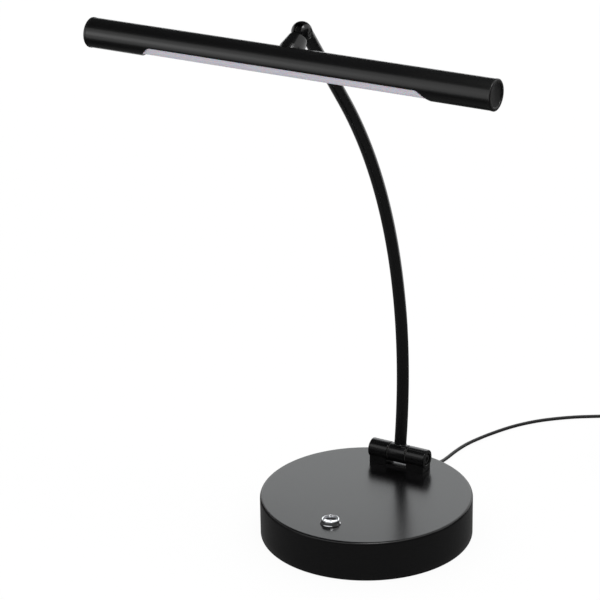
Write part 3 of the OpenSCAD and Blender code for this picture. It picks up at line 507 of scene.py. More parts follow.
@dataclass
class Workshop:
    """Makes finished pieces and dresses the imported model's nodes."""

    frame: dict
    palette: Palette

    def piece(self, name: str, surface: Surface, finish: Finish, body: str,
              stands_for: tuple[str, ...] = (), sharp: float = 32.0) -> bpy.types.Object:
        """Makes one piece from a surface.

        Doubled points are merged, so seams and poles are closed, and the faces are turned outwards.

        Args:
            name: the piece's name.
            surface: its surface in millimetres.
            finish: its finish.
            body: the body that it rides on.
            stands_for: the nodes that it replaces.
            sharp: edges sharper than this angle, in degrees, stay crisp.

        Returns:
            The object.
        """
        mesh = bpy.data.meshes.new(name)
        mesh.from_pydata((surface.points * MM).tolist(), [], surface.faces)
        obj = bpy.data.objects.new(name, mesh)
        bpy.context.scene.collection.objects.link(obj)
        self.close(obj)
        mesh.shade_smooth()
        mesh.set_sharp_from_angle(angle=math.radians(sharp))
        mesh.materials.append(self.palette.of(finish))
        if stands_for:
            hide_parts(*stands_for)
        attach(obj, body)
        LOG.info("%s: %d points, rides on %s", name, len(mesh.vertices), body)
        return obj

    @staticmethod
    def close(obj: bpy.types.Object) -> None:
        """Merges doubled points, drops empty faces and turns all faces outwards."""
        b = bmesh.new()
        b.from_mesh(obj.data)
        bmesh.ops.remove_doubles(b, verts=b.verts, dist=2e-6)
        bmesh.ops.dissolve_degenerate(b, edges=b.edges, dist=1e-7)
        bmesh.ops.recalc_face_normals(b, faces=b.faces)
        b.to_mesh(obj.data)
        b.free()

    def carve(self, obj: bpy.types.Object, cutters: list[Surface], join: bool = False) -> None:
        """Cuts surfaces out of a piece, or joins them to it, with an exact boolean applied at once.

        Args:
            obj: the piece.
            cutters: closed surfaces in millimetres.
            join: whether they are added and not cut away.
        """
        for i, surface in enumerate(cutters):
            mesh = bpy.data.meshes.new(f"cutter_{i}")
            mesh.from_pydata((surface.points * MM).tolist(), [], surface.faces)
            tool = bpy.data.objects.new(f"cutter_{i}", mesh)
            bpy.context.scene.collection.objects.link(tool)
            self.close(tool)
            cut = obj.modifiers.new("Cut", "BOOLEAN")
            cut.operation, cut.solver, cut.object = ("UNION" if join else "DIFFERENCE"), "EXACT", tool
            bpy.context.view_layer.update()
            done = bpy.data.meshes.new_from_object(obj.evaluated_get(bpy.context.evaluated_depsgraph_get()))
            obj.modifiers.remove(cut)
            old, obj.data = obj.data, done
            bpy.data.meshes.remove(old)
            bpy.data.objects.remove(tool)
        obj.data.shade_smooth()
        obj.data.set_sharp_from_angle(angle=math.radians(30))

    def dress(self, finish: Finish, *nodes: str) -> None:
        """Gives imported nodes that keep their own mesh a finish."""
        for node in nodes:
            obj = self.frame["nodes"][node]
            for i in range(max(1, len(obj.material_slots))):
                if not obj.material_slots:
                    obj.data.materials.append(None)
                obj.material_slots[i].material = self.palette.of(finish)
            LOG.info("%s: dressed as %s", node, finish.name)


@dataclass(frozen=True)
class Sizes:
    """Sizes that several sub-assemblies share, in millimetres and degrees."""

    base_r: float = 87.0
    base_h: float = 34.0
    switch_y: float = -59.5
    hinge_y: float = 58.4
    hinge_z: float = 45.2
    barrel_r: float = 8.0
    arm_r: float = 5.05
    bend_r: float = 418.0
    foot_lean: float = 7.75
    foot: float = 12.0
    top_lean: float = 39.4
    top: float = 93.3
    ball_r: float = 7.8
    ball_offset: float = 3.3
    neck_drop: float = 34.1
    neck_reach: float = 29.2
    bar_r: float = 11.3
    bar_len: float = 336.5
    tongue_r: float = 4.7
    tongue_half: float = 4.0
    cord_r: float = 1.5

    @property
    def bend_middle(self) -> np.ndarray:
        """Middle of the arm's bend as (y, z)."""
        a = math.radians(self.foot_lean)
        start = np.array([self.hinge_y + self.foot * math.sin(a), self.hinge_z + self.foot * math.cos(a)])
        return start - self.bend_r * np.array([math.cos(a), -math.sin(a)])

    @property
    def arm_top(self) -> np.ndarray:
        """The point on the arm's centre line level with the knuckle's middle, as (y, z)."""
        t = math.radians(self.top_lean)
        end = self.bend_middle + self.bend_r * np.array([math.cos(t), math.sin(t)])
        return end + self.top * np.array([-math.sin(t), math.cos(t)])

    @property
    def pivot(self) -> tuple[float, float, float]:
        """Middle of the ball-shaped knuckle."""
        t = math.radians(self.top_lean)
        y, z = self.arm_top - self.ball_offset * np.array([math.cos(t), math.sin(t)])
        return (0.0, float(y), float(z))

    @property
    def bar_middle(self) -> tuple[float, float, float]:
        """A point on the light bar's axis, straight below the neck."""
        d = math.radians(self.neck_drop)
        _, y, z = self.pivot
        return (0.0, y - self.neck_reach * math.cos(d), z - self.neck_reach * math.sin(d))


S = Sizes()


@dataclass
class Studio:
    """Camera, lights, floor and the white surroundings."""

    spot: tuple[float, float, float] = (0.87121, -1.58852, 0.95656)
    right: tuple[float, float, float] = (0.86589, 0.50000, -0.01546)
    up: tuple[float, float, float] = (-0.17919, 0.33888, 0.92361)
    lens: float = 148.821

    def camera(self) -> None:
        """Sets the camera where the photograph was taken from."""
        data = bpy.data.cameras.new("camera")
        data.lens, data.sensor_width = self.lens, 36.0
        data.clip_start, data.clip_end = 0.05, 60
        obj = bpy.data.objects.new("camera", data)
        right = Vector(self.right).normalized()
        back = right.cross(Vector(self.up)).normalized()
        up = back.cross(right)
        turn = Matrix((right, up, back)).transposed().to_4x4()
        obj.matrix_world = Matrix.Translation(Vector(self.spot)) @ turn
        bpy.context.scene.collection.objects.link(obj)
        bpy.context.scene.camera = obj

    def light(self, name: str, at: tuple[float, float, float], aim: tuple[float, float, float],
              size: tuple[float, float], power: float,
              tint: tuple[float, float, float] = (1.0, 1.0, 1.0)) -> None:
        """Adds one soft rectangular light.

        Args:
            name: its name.
            at: where it stands, in metres.
            aim: the point that it faces.
            size: width and height in metres.
            power: watts.
            tint: its colour.
        """
        data = bpy.data.lights.new(name, "AREA")
        data.shape, data.size, data.size_y, data.energy = "RECTANGLE", size[0], size[1], power
        data.color = tint
        obj = bpy.data.objects.new(name, data)
        obj.location = at
        obj.rotation_euler = (Vector(aim) - Vector(at)).to_track_quat("-Z", "Y").to_euler()
        bpy.context.scene.collection.objects.link(obj)

    def surroundings(self) -> None:
        """A plain white world, the same for the camera, for gloss and for soft light."""
        world = bpy.data.worlds.new("studio")
        bpy.context.scene.world = world
        world.use_nodes = True
        back = world.node_tree.nodes["Background"]
        back.inputs["Color"].default_value = (1, 1, 1, 1)
        back.inputs["Strength"].default_value = 1.0

    def floor(self) -> None:
        """A wide pale floor that the camera sees as white, with a trace of the lamp's shadow."""
        mesh = bpy.data.meshes.new("floor")
        r, z = 9.0, -0.0002
        mesh.from_pydata([(-r, -r, z), (r, -r, z), (r, r, z), (-r, r, z)], [], [(0, 1, 2, 3)])
        obj = bpy.data.objects.new("floor", mesh)
        bpy.context.scene.collection.objects.link(obj)
        m = bpy.data.materials.new("Floor")
        m.use_nodes = True
        n, l = m.node_tree.nodes, m.node_tree.links
        n.clear()
        out = n.new("ShaderNodeOutputMaterial")
        pale = n.new("ShaderNodeBsdfDiffuse")
        pale.inputs["Color"].default_value = (0.86, 0.86, 0.86, 1)
        white = n.new("ShaderNodeEmission")
        white.inputs["Color"].default_value = (1, 1, 1, 1)
        path = n.new("ShaderNodeLightPath")
        both, seen = n.new("ShaderNodeMath"), n.new("ShaderNodeMath")
        both.operation = seen.operation = "MAXIMUM"
        l.new(path.outputs["Is Camera Ray"], both.inputs[0])
        l.new(path.outputs["Is Glossy Ray"], both.inputs[1])
        l.new(both.outputs[0], seen.inputs[0])
        l.new(path.outputs["Is Transmission Ray"], seen.inputs[1])
        share = n.new("ShaderNodeMath")
        share.operation = "MULTIPLY"
        share.inputs[1].default_value = 0.93
        l.new(seen.outputs[0], share.inputs[0])
        mix = n.new("ShaderNodeMixShader")
        l.new(share.outputs[0], mix.inputs[0])
        l.new(pale.outputs[0], mix.inputs[1])
        l.new(white.outputs[0], mix.inputs[2])
        l.new(mix.outputs[0], out.inputs["Surface"])
        mesh.materials.append(m)

    @staticmethod
    def flag(name: str, points: Sequence[Sequence[float]], faces: list[tuple[int, ...]], tone: float) -> None:
        """A dark sheet that only reflections see, as a photographer's flag.

        Args:
            name: its name.
            points: its corners in metres.
            faces: the faces between them.
            tone: how bright it looks in a reflection, where 1 is white.
        """
        mesh = bpy.data.meshes.new(name)
        mesh.from_pydata(points, [], faces)
        obj = bpy.data.objects.new(name, mesh)
        bpy.context.scene.collection.objects.link(obj)
        obj.visible_camera = obj.visible_diffuse = obj.visible_shadow = False
        obj.visible_transmission = False
        m = bpy.data.materials.new(name)
        m.use_nodes = True
        shader = m.node_tree.nodes["Principled BSDF"]
        shader.inputs["Base Color"].default_value = (0, 0, 0, 1)
        shader.inputs["Specular IOR Level"].default_value = 0
        shader.inputs["Emission Color"].default_value = (tone, tone, tone, 1)
        shader.inputs["Emission Strength"].default_value = 1.0
        mesh.materials.append(m)

    def flags(self) -> None:
        """Sets up the flags: rings on the floor, a low wall round the front, a ceiling and three sheets."""
        rings = (("table_near", 86.0, 230.0, 0.13), ("table_far", 230.0, 500.0, 0.12))
        for name, inner, outer, tone in rings:
            ring = turned(np.array([[inner, 0.02], [outer, 0.02]]), 96)
            self.flag(name, (ring.points * MM).tolist(), ring.faces, tone)
        away, tall = 0.5, 0.3
        a = np.linspace(-math.pi - 0.35, 1.0, 57)
        low = np.stack([away * np.cos(a), away * np.sin(a), 0 * a], -1)
        wall = np.vstack([low, low + tall * Z_AXIS])
        self.flag("low_wall", wall.tolist(), grid_faces(2, len(a), False, False), 0.05)
        sheets = {
            "ceiling": ([(-0.9, -0.42, 0.75), (0.08, -0.42, 0.75), (0.08, 0.6, 0.75), (-0.9, 0.6, 0.75),
                         (0.08, 0.6, 0.55), (-0.9, 0.6, 0.55)], 0.04),
            "by_camera": ([(0.25, -1.15, 0.3), (0.79, -0.85, 0.3), (0.79, -0.85, 0.9),
                           (0.25, -1.15, 0.9)], 0.02),
            "right_side": ([(0.79, -0.85, 0), (1.0, 0.5, 0), (1.0, 0.5, 1.1), (0.79, -0.85, 1.1)], 0.05),
            "by_bar_end": ([(0.4, 0.6, 0.001), (1.5, 0.6, 0.001), (1.5, 1.7, 0.001),
                            (0.4, 1.7, 0.001)], 0.03),
        }
        for name, (corners, tone) in sheets.items():
            faces = [(0, 1, 2, 3)] + ([(3, 2, 4, 5)] if len(corners) > 4 else [])
            self.flag(name, corners, faces, tone)

    def build(self) -> None:
        """Builds the whole studio."""
        bpy.context.scene.view_settings.view_transform = "Standard"
        self.camera()
        self.surroundings()
        self.floor()
        self.flags()
        self.light("key", (-1.7, -2.2, 0.75), (0, 0, 0.3), (0.9, 0.9), 4)
        self.light("back", (-0.85, 1.6, 0.95), (0, 0, 0.03), (1.6, 1.3), 5.2, (0.93, 0.98, 1.0))
        self.light("top", (0.27, -0.25, 1.27), (0, -0.1, 0.44), (0.3, 0.3), 3.4)


@dataclass
class Cord:
    """The low-voltage cord: a strain relief, a free stretch, a tied coil and the adaptor on its end."""

    exit_z: float = 8.0
    relief: float = 18.0
    ribs: int = 5
    coil_x: float = 131.5
    coil_y: float = 278.75
    pitch: float = 3.5
    per_layer: int = 3
    layers: int = 4
    mid_r: float = 16.5
    coil_z: float = 2.4
    turn_steps: int = 48
    adaptor_gap: float = 8.0
    run_in: float = 18.0
    sides: int = 16

    @property
    def out_r(self) -> float:
        """Radius of the coil's outermost turn."""
        return self.mid_r + self.per_layer * self.pitch / 2

    @property
    def in_r(self) -> float:
        """Radius of the coil's innermost turn."""
        return self.mid_r - self.per_layer * self.pitch / 2

    def free_path(self) -> np.ndarray:
        """The free stretch, a smooth curve through the same points as the solid cord.

        Between two points b and c, with a before and d after them, the curve is
        0.5 (2b + (c - a) t + (2a - 5b + 4c - d) t^2 + (3b - a - 3c + d) t^3).

        Returns:
            (n, 3) points in millimetres.
        """
        r, e, z = S.cord_r, S.base_r + self.relief, self.exit_z
        p = np.array([
            (0, e, z), (0, e + 6, z), (-0.3, 118, 7.4), (-0.7, 126, 5.6), (-1, 134, 3.4), (-1.1, 142, 1.9),
            (-0.9, 150, r), (-0.6, 158.5, r), (0.1, 168, r), (1.5, 178.3, r), (3.7, 187.5, r), (6.4, 196, r),
            (9.3, 204.3, r), (12.6, 212.5, r), (16, 220.3, r), (19.7, 227.9, r), (23.8, 235.3, r),
            (28.4, 242.4, r), (33.9, 249.7, r), (40.1, 256.8, r), (47.3, 263.8, r), (55.4, 270.8, r),
            (64.5, 277.7, r), (74.6, 284.2, r), (85.6, 290.3, 1.7), (96.6, 295.1, 2), (107.5, 298.4, 2.2),
            (116.5, self.coil_y + self.out_r - 0.4, 2.3),
            (self.coil_x - 9, self.coil_y + self.out_r, self.coil_z),
            (self.coil_x - 3, self.coil_y + self.out_r, self.coil_z)], float)
        a, b, c, d = p[np.r_[0, 0:len(p) - 2]], p[:-1], p[1:], p[np.r_[2:len(p), len(p) - 1]]
        t = np.arange(5)[None, :, None] / 5
        a, b, c, d = a[:, None], b[:, None], c[:, None], d[:, None]
        curve = 0.5 * (2 * b + (c - a) * t + (2 * a - 5 * b + 4 * c - d) * t**2
                       + (3 * b - a - 3 * c + d) * t**3)
        return np.vstack([curve.reshape(-1, 3), p[-1:]])

    def coil_path(self) -> np.ndarray:
        """The coil: spirals in and out by layers, and climbs one layer where the spiral turns back.

        Its tail runs on straight into the adaptor.

        Returns:
            (n, 3) points in millimetres, from the free stretch's end to the adaptor.
        """
        turns = self.per_layer * self.layers
        t = np.arange(int((turns + 0.25) * self.turn_steps) + 1) / self.turn_steps
        u = np.minimum(t, turns) % (2 * self.per_layer)
        r = np.where(u < self.per_layer, self.out_r - self.pitch * u,
                     self.in_r + self.pitch * (u - self.per_layer))
        r = np.where(t >= turns, self.out_r + self.pitch * (t - turns), r)
        z = np.full_like(t, self.coil_z)
        for k in range(1, self.layers):
            s = np.clip((t - k * self.per_layer) * 2 + 0.5, 0, 1)
            z += self.pitch * s * s * (3 - 2 * s)
        a = 2 * np.pi * t
        turnings = np.stack([self.coil_x + r * np.sin(a), self.coil_y + r * np.cos(a), z], -1)
        lead = np.array([[self.coil_x - 1.5, self.coil_y + self.out_r, self.coil_z]])
        x, top, end = self.adaptor_x, z[-1], self.adaptor_y - self.run_in
        f = np.array([0.3, 0.65, 0.9, 1])
        tail = np.stack([np.full(4, x), self.coil_y + (end - self.coil_y) * f, np.full(4, top)], -1)
        return np.vstack([lead, turnings, tail])

    @property
    def adaptor_x(self) -> float:
        """The cord's place across the adaptor."""
        return self.coil_x + self.out_r + self.pitch / 4

    @property
    def adaptor_y(self) -> float:
        """The adaptor's end where the cord enters."""
        return self.coil_y - self.out_r - self.adaptor_gap

    def build(self, shop: Workshop) -> None:
        path = np.vstack([self.free_path(), self.coil_path()])
        cord = shop.piece("cord_sheath", swept(path, S.cord_r, self.sides), Palette.cord, "base",
                          ("cord", "cord_coil"), sharp=50)
        length = float(np.linalg.norm(np.diff(path, axis=0), axis=1).sum())
        LOG.info("cord: %.0f mm along its middle", length)
        body = self.adaptor(shop)
        relief = self.adaptor_relief(shop)
        shop.dress(Palette.zinc, "adaptor_pins")
        tie = self.tie(shop)
        self.gland(shop)

    def gland(self, shop: Workshop) -> None:
        """The tapered, ribbed strain relief where the cord leaves the base."""
        b, e = S.base_r, S.base_r + self.relief
        outline = [(0, b - 4.3), (5.0, b - 4.3), (5.0, b - 2.3), (3.6, b - 2.3), (3.6, b), (5.0, b),
                   (5.0, b + 1.2), (3.5, b + 2.4)]
        for k in range(self.ribs):
            r, y = 3.42 - 0.07 * k, b + 4.2 + 2.6 * k
            outline += [(r, y), (r - 0.75, y + 0.3), (r - 0.75, y + 1.1), (r - 0.06, y + 1.4)]
        outline += [(S.cord_r + 0.7, e - 0.4), (S.cord_r + 0.35, e), (0, e)]
        surface = turned(softened(outline, 0.3, 3), 48)
        shop.piece("cord_gland", surface.moved(placed((0, 0, self.exit_z), -90)), Palette.cord, "base",
                   ("cable_gland",), sharp=40)

    def tie(self, shop: Workshop) -> bpy.types.Object:
        """A soft band round the coil's turns, with rounded edges.

        Returns:
            The band.
        """
        outer, inner = self.out_r - self.pitch / 2 + S.cord_r + 0.35, self.in_r + self.pitch / 2 - 2.55
        low, high = self.coil_z - S.cord_r - 0.35, self.coil_z + 3 * self.pitch + S.cord_r + 0.35
        wide, tall, t = outer - inner, high - low, 0.5
        middle = (self.coil_x, self.coil_y - (outer + inner) / 2, (low + high) / 2)
        rim = round_rect(wide + 2 * t, tall + 2 * t, 1.2, 6)
        rows = [(-3.6, t), (-3.9, t - 0.1), (-4, t / 2), (-3.9, 0.05), (-3.6, 0), (3.6, 0), (3.9, 0.05),
                (4, t / 2), (3.9, t - 0.1), (3.6, t), (-3.6, t)]
        band = carried(rim, rows).moved(along_x(middle))
        return shop.piece("coil_band", band, Palette.pad, "base", ("coil_tie",))

    def adaptor(self, shop: Workshop) -> bpy.types.Object:
        """The power adaptor: two half shells with a shadow gap and a raised pin plate.

        Returns:
            The adaptor's housing.
        """
        y = self.adaptor_y - 28
        shell = carried(round_rect(32, 56, 5, 12), [
            (0, SHUT), (0, 1.6), (0.15, 0.9), (0.6, 0.3), (1.4, 0.0), (12.2, 0), (12.45, 0.12), (12.5, 0.5),
            (13.0, 0.5), (13.05, 0.12), (13.3, 0), (24.2, 0), (25.1, 0.3), (25.7, 0.9), (26, 1.8),
            (26, SHUT)])
        plate = carried(round_rect(26, 13, 5, 10), [
            (25.9, SHUT), (25.9, 0), (27.4, 0), (27.8, 0.15), (28, 0.6), (28, SHUT)])
        plate.points[:, 1] += 4
        where = placed((self.adaptor_x, y, 0))
        return shop.piece("adaptor_shell", (shell + plate).moved(where), Palette.moulding, "base",
                          ("adaptor_body",), sharp=40)

    def adaptor_relief(self, shop: Workshop) -> bpy.types.Object:
        """The short strain relief on the adaptor.

        Returns:
            The relief.
        """
        outline = [(0, 0), (4, 0), (3.6, 1.8), (2.4, 2.3), (2.4, 3.1), (3.1, 3.5), (2.8, 4.7), (2.2, 5.1),
                   (2.2, 5.9), (2.6, 6.3), (2.1, 8), (2.1, 9.6), (1.8, 10), (0, 10)]
        place = placed((self.adaptor_x, self.adaptor_y, self.coil_z + 3 * self.pitch), -90)
        return shop.piece("adaptor_boot", turned(softened(outline, 0.3, 3), 40).moved(place), Palette.cord,
                          "base", ("adaptor_relief",), sharp=40)


@dataclass
class Base:
    """The round weighted base with its switch."""

    wall: float = 2.0
    edge: float = 2.2
    rim: float = 0.6
    hole_r: float = 6.95

    def cover(self, shop: Workshop) -> None:
        """The cover: circles from the rim over the top to the switch's hole, and back inside.

        Each row (y, r, z) is a circle of radius r about (0, y) at height z. On the flat top the circles'
        middles move from the base's middle to the switch's.
        """
        r, h, e = S.base_r, S.base_h, self.edge
        t = np.linspace(0, np.pi / 2, 13)
        rows = [(0, r - self.wall, self.rim), (0, r - 0.5, self.rim), (0, r - 0.15, self.rim + 0.12),
                (0, r, self.rim + 0.5), (0, r, 8), (0, r, 20), (0, r, h - e - 0.4)]
        rows += [(0, r - e + e * math.cos(a), h - e + e * math.sin(a)) for a in t]
        rows += [(0, r - e - 0.6, h), (S.switch_y * 0.5, (r - e + self.hole_r) / 2, h),
                 (S.switch_y, self.hole_r, h), (S.switch_y, self.hole_r, h - self.wall)]
        rows += [(0, r - self.wall - 0.2, h - self.wall), (0, r - self.wall, h - self.wall - 0.2)]
        a = np.linspace(0, 2 * np.pi, 256, endpoint=False)
        y, q, z = (np.array(v)[:, None] for v in zip(*rows))
        points = np.stack([q * np.cos(a), y + q * np.sin(a), z + 0 * a], -1)
        surface = Surface(points.reshape(-1, 3), grid_faces(len(rows), len(a), True, True))
        shop.piece("base_shell", surface, Palette.enamel, "base", ("base_cover",), sharp=35)

    def build(self, shop: Workshop) -> None:
        """Makes the cover and dresses what is under and inside it."""
        self.cover(shop)
        shop.dress(Palette.iron, "base_weight")
        shop.dress(Palette.zinc, "base_plate", "plate_screws", "board_screws", "switch_nut",
                   "block_screws", "hinge_nut", "hinge_spring_washers", "neck_screws")
        shop.dress(Palette.pad, "base_pad", "switch_seal")
        shop.dress(Palette.green_mask, "driver_board")
        shop.dress(Palette.nylon, "board_spacers")
        shop.dress(Palette.red_wire, "base_wires")
        shop.dress(Palette.cord, "inner_lead")
        shop.dress(Palette.cap, "switch_body")


@dataclass
class PushSwitch:
    """The chrome push switch: a bezel with a rolled lip and a dished button."""

    bore: float = 5.7
    flange: float = 8.45
    lip_h: float = 4.0
    travel: float = 1.5
    spring_r: float = 3.3
    spring_wire_r: float = 0.3
    spring_turns: int = 5

    def build(self, shop: Workshop) -> None:
        """Makes the bezel, the button and the spring under it."""
        where = placed((0, S.switch_y, S.base_h))
        bezel = [(self.bore, -13), (6.9, -13), (6.9, 0.0), (self.flange, 0), (self.flange, 0.75),
                 (8.05, 1.25), (7.35, 2.6), (7.2, 3.4), (6.9, 3.85), (6.45, self.lip_h), (6.0, 3.85),
                 (self.bore, 3.3), (self.bore, -13)]
        shop.piece("switch_ring", turned(softened(bezel, 0.28, 5), 128).moved(where), Palette.chrome, "base",
                   ("switch_bezel",), sharp=40)
        dimple_r, dish_r = 0.95, 4.9
        s = np.linspace(0, 1, 14)
        dish = [(float(dimple_r + (dish_r - dimple_r) * k), float(1.8 + 0.7 * k * k)) for k in s]
        button = [(0, -12), (2.2, -12), (2.2, -5), (4.7, -5), (4.7, 0), (5.5, 0.3), (5.5, 2.1), (5.35, 2.42),
                  (5.1, 2.5)] + dish[::-1] + [(0.8, 1.55), (0.55, 1.3), (0, 1.2)]
        shop.piece("switch_cap", turned(softened(button, 0.12, 3), 128).moved(where), Palette.chrome,
                   "button", ("switch_button",), sharp=40)
        self.spring(shop)

    def spring(self, shop: Workshop) -> None:
        """The return spring under the button.

        About the switch's axis, point = (R cos a, R sin a, z), where z rises evenly but for a flat three
        quarters of a turn at each end.
        """
        low, high = (v[2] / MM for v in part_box("switch_spring"))
        t = np.arange(self.spring_turns * 32 + 1) / 32
        rise = np.clip((t - 0.75) / (self.spring_turns - 1.5), 0, 1)
        z = low + self.spring_wire_r + (high - low - 2 * self.spring_wire_r) * rise
        r, a = self.spring_r, 2 * np.pi * t
        path = np.stack([r * np.cos(a), S.switch_y + r * np.sin(a), z], -1)
        coil = shop.piece("switch_coil", swept(path, self.spring_wire_r, 10), Palette.zinc, "base",
                          ("switch_spring",), sharp=60)
        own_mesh(coil)


@dataclass
class Hinge:
    """The block on the base whose two ears hold the arm's knuckle."""

    block_w: float = 50.0
    block_d: float = 14.0
    barrel_len: float = 52.0
    ear_start: float = 8.7
    chamfer: float = 0.6
    ease: float = 0.5
    recess_r: float = 4.85
    recess_x: float = 20.5
    bore_r: float = 2.55
    web_w: float = 19.2
    web_gap: float = 1.6

    def ear(self, side: int) -> Surface:
        """One ear: an outline round the barrel's axis carried along X, with a recess in its end.

        In the direction a, seen from the axis, the outline's distance is that of the barrel or of the
        block's rectangle, whichever is greater.

        Args:
            side: +1 for the right ear, -1 for the left.

        Returns:
            The ear's surface.
        """
        drop = S.hinge_z - S.base_h
        half = self.block_d / 2
        corner = math.atan2(-drop, half)
        a = np.unique(np.round(np.concatenate([
            np.linspace(-math.pi, math.pi, 121)[:-1], [corner, -math.pi - corner]]), 9))
        c, s = np.cos(a), np.sin(a)
        box = np.minimum(half / np.maximum(np.abs(c), 1e-9), drop / np.maximum(-s, 1e-9))
        full = np.where(s < 0, np.maximum(S.barrel_r, box), S.barrel_r)
        r, ch, e = S.barrel_r, self.chamfer, self.barrel_len / 2
        ring = np.ones_like(full)
        inset = np.where(full > r, full - self.ease, r)
        near, far = self.ear_start, self.block_w / 2
        rows = [(near, ring * self.bore_r), (near, ring * (r - ch)),
                (near + ch * 0.5, ring * (r - ch * 0.18)), (near + ch, ring * r), (near + ch, inset),
                (near + ch + self.ease, full), (far - self.ease, full), (far, inset), (far, ring * r),
                (e - ch, ring * r), (e - ch * 0.5, ring * (r - ch * 0.18)), (e, ring * (r - ch)),
                (e, ring * (self.recess_r + 0.3)), (e - 0.3, ring * self.recess_r),
                (self.recess_x, ring * self.recess_r), (self.recess_x, ring * self.bore_r)]
        x = np.array([q for q, _ in rows])[:, None]
        d = np.stack([v for _, v in rows])
        points = np.stack([side * x + 0 * d, S.hinge_y + d * c, S.hinge_z + d * s], -1)
        return Surface(points.reshape(-1, 3), grid_faces(len(rows), len(a), True, True))

    def build(self, shop: Workshop) -> None:
        """Makes the block and dresses the bolt and washers."""
        top = S.hinge_z - S.barrel_r - self.web_gap
        web = carried(round_rect(self.web_w, self.block_d, 0.3, 3),
                      [(S.base_h, SHUT), (S.base_h, 0), (top - 0.2, 0), (top, 0.2), (top, SHUT)])
        web = web.moved(placed((0, S.hinge_y, 0)))
        shop.piece("hinge_ears", self.ear(1) + self.ear(-1) + web, Palette.enamel, "base",
                   ("hinge_block",), sharp=28)
        shop.dress(Palette.black_screw, "hinge_bolt")
        shop.dress(Palette.fibre, "friction_washers", "tilt_washers")


@dataclass
class Arm:
    """The bent tube with the knuckle at its foot and the ball at its top."""

    knuckle_half: float = 8.0
    chamfer: float = 0.6
    collar_top: float = 3.2
    collar_end: float = 9.5
    slot_half: float = 3.1
    bore_r: float = 2.55
    tilt_up: float = 65.0
    tilt_down: float = 30.0

    def centre_line(self) -> np.ndarray:
        """The tube's middle: a straight foot, an arc and a straight top, in the plane x = 0.

        Returns:
            (n, 3) points in millimetres.
        """
        f, t = math.radians(S.foot_lean), math.radians(S.top_lean)
        up = np.array([math.sin(f), math.cos(f)])
        foot = np.array([S.hinge_y, S.hinge_z]) + np.array([4.1, 7.0, 10.0])[:, None] * up
        a = np.linspace(-f, t, 150)[:, None]
        arc = S.bend_middle + S.bend_r * np.hstack([np.cos(a), np.sin(a)])
        way = np.array([-math.sin(t), math.cos(t)])
        top = S.arm_top - np.linspace(90, self.collar_end, 12)[:, None] * way
        line = np.vstack([foot, arc, top])
        return np.column_stack([np.zeros(len(line)), line])

    def knuckle(self, shop: Workshop) -> None:
        """The middle third of the barrel, with the small weld where the tube enters."""
        r, w, c, bore = S.barrel_r, self.knuckle_half, self.chamfer, self.bore_r
        profile = [(bore, -w), (r - c, -w), (r - c * 0.18, -w + c * 0.5), (r, -w + c), (r, w - c),
                   (r - c * 0.18, w - c * 0.5), (r - c, w), (bore, w), (bore, -w)]
        barrel = turned(np.array(profile), 96).moved(along_x((0, S.hinge_y, S.hinge_z)))
        a = S.arm_r
        weld = turned(softened([(0, 5), (a + 0.35, 5), (a + 0.35, r + 0.1), (a + 0.12, r + 0.4),
                                (a, r + 0.45), (0, r + 0.45)], 0.15, 3), 64)
        weld = weld.moved(placed((0, S.hinge_y, S.hinge_z), -S.foot_lean))
        shop.piece("arm_barrel", barrel + weld, Palette.enamel, "arm", ("arm_knuckle",))

    def slot(self) -> Surface:
        """The space that the tongue sweeps, as a slab cut out of the ball.

        Its outline in the side plane is the tongue's round end and the swept fan in front of it.

        Returns:
            A closed surface.
        """
        near, half = S.tongue_r + 0.45, S.tongue_half + 0.5
        spare, far = 2, 24.0
        lo = math.radians(180 + S.neck_drop - self.tilt_up - spare)
        hi = math.radians(180 + S.neck_drop + self.tilt_down + spare)
        spread = math.asin(half / near)
        back = np.linspace(hi + spread, lo - spread + 2 * math.pi, 40)
        rim = np.stack([near * np.cos(back), near * np.sin(back)], -1)
        fan = np.linspace(lo - math.asin(half / far), hi + math.asin(half / far), 24)
        front = np.stack([far * np.cos(fan), far * np.sin(fan)], -1)
        outline = np.vstack([rim, front])
        slab = carried(outline, [(-self.slot_half, SHUT), (-self.slot_half, 0), (self.slot_half, 0),
                                 (self.slot_half, SHUT)])
        return slab.moved(along_x(S.pivot))

    def ball(self, shop: Workshop) -> None:
        """The ball-shaped knuckle on its collar, split by the tongue's slot, with the screw's recess."""
        r = S.ball_r
        t = np.linspace(-np.pi / 2, np.pi / 2, 65)
        sphere = turned(np.stack([r * np.cos(t), r * np.sin(t)], -1), 112).moved(along_x(S.pivot))
        obj = shop.piece("arm_ball_joint", sphere, Palette.enamel, "arm", ("arm_ball",))
        a, top, end = S.arm_r, self.collar_top, self.collar_end
        collar = turned(softened([(0, top), (a - 0.5, top), (a, top + 0.5), (a, end - 0.12), (a - 0.14, end),
                                  (4.0, end), (4.0, end + 8), (0, end + 8)], 0.12, 3), 96)
        y, z = S.arm_top
        collar = collar.moved(placed((0, float(y), float(z)), 180 + S.top_lean))
        shop.carve(obj, [collar], join=True)
        recess = turned(np.array([(0, 5.3), (3.45, 5.3), (3.45, 12), (0, 12)]), 64).moved(along_x(S.pivot))
        bore = turned(np.array([(0, -6.7), (2.05, -6.7), (2.05, 6), (0, 6)]), 48).moved(along_x(S.pivot))
        shop.carve(obj, [self.slot(), recess, bore])
        edge = obj.modifiers.new("Broken edges", "BEVEL")
        edge.width, edge.segments, edge.limit_method = 0.22 * MM, 2, "ANGLE"
        edge.angle_limit = math.radians(40)
        edge.harden_normals = True

    def build(self, shop: Workshop) -> None:
        """Makes the arm's pieces and dresses the hidden ones."""
        tube = swept(self.centre_line(), S.arm_r, 64, X_AXIS)
        shop.piece("arm_pipe", tube, Palette.enamel, "arm", ("arm_tube",), sharp=40)
        self.knuckle(shop)
        self.ball(shop)
        shop.dress(Palette.grey_wire, "arm_wires")
        shop.dress(Palette.black_screw, "cross_screw")


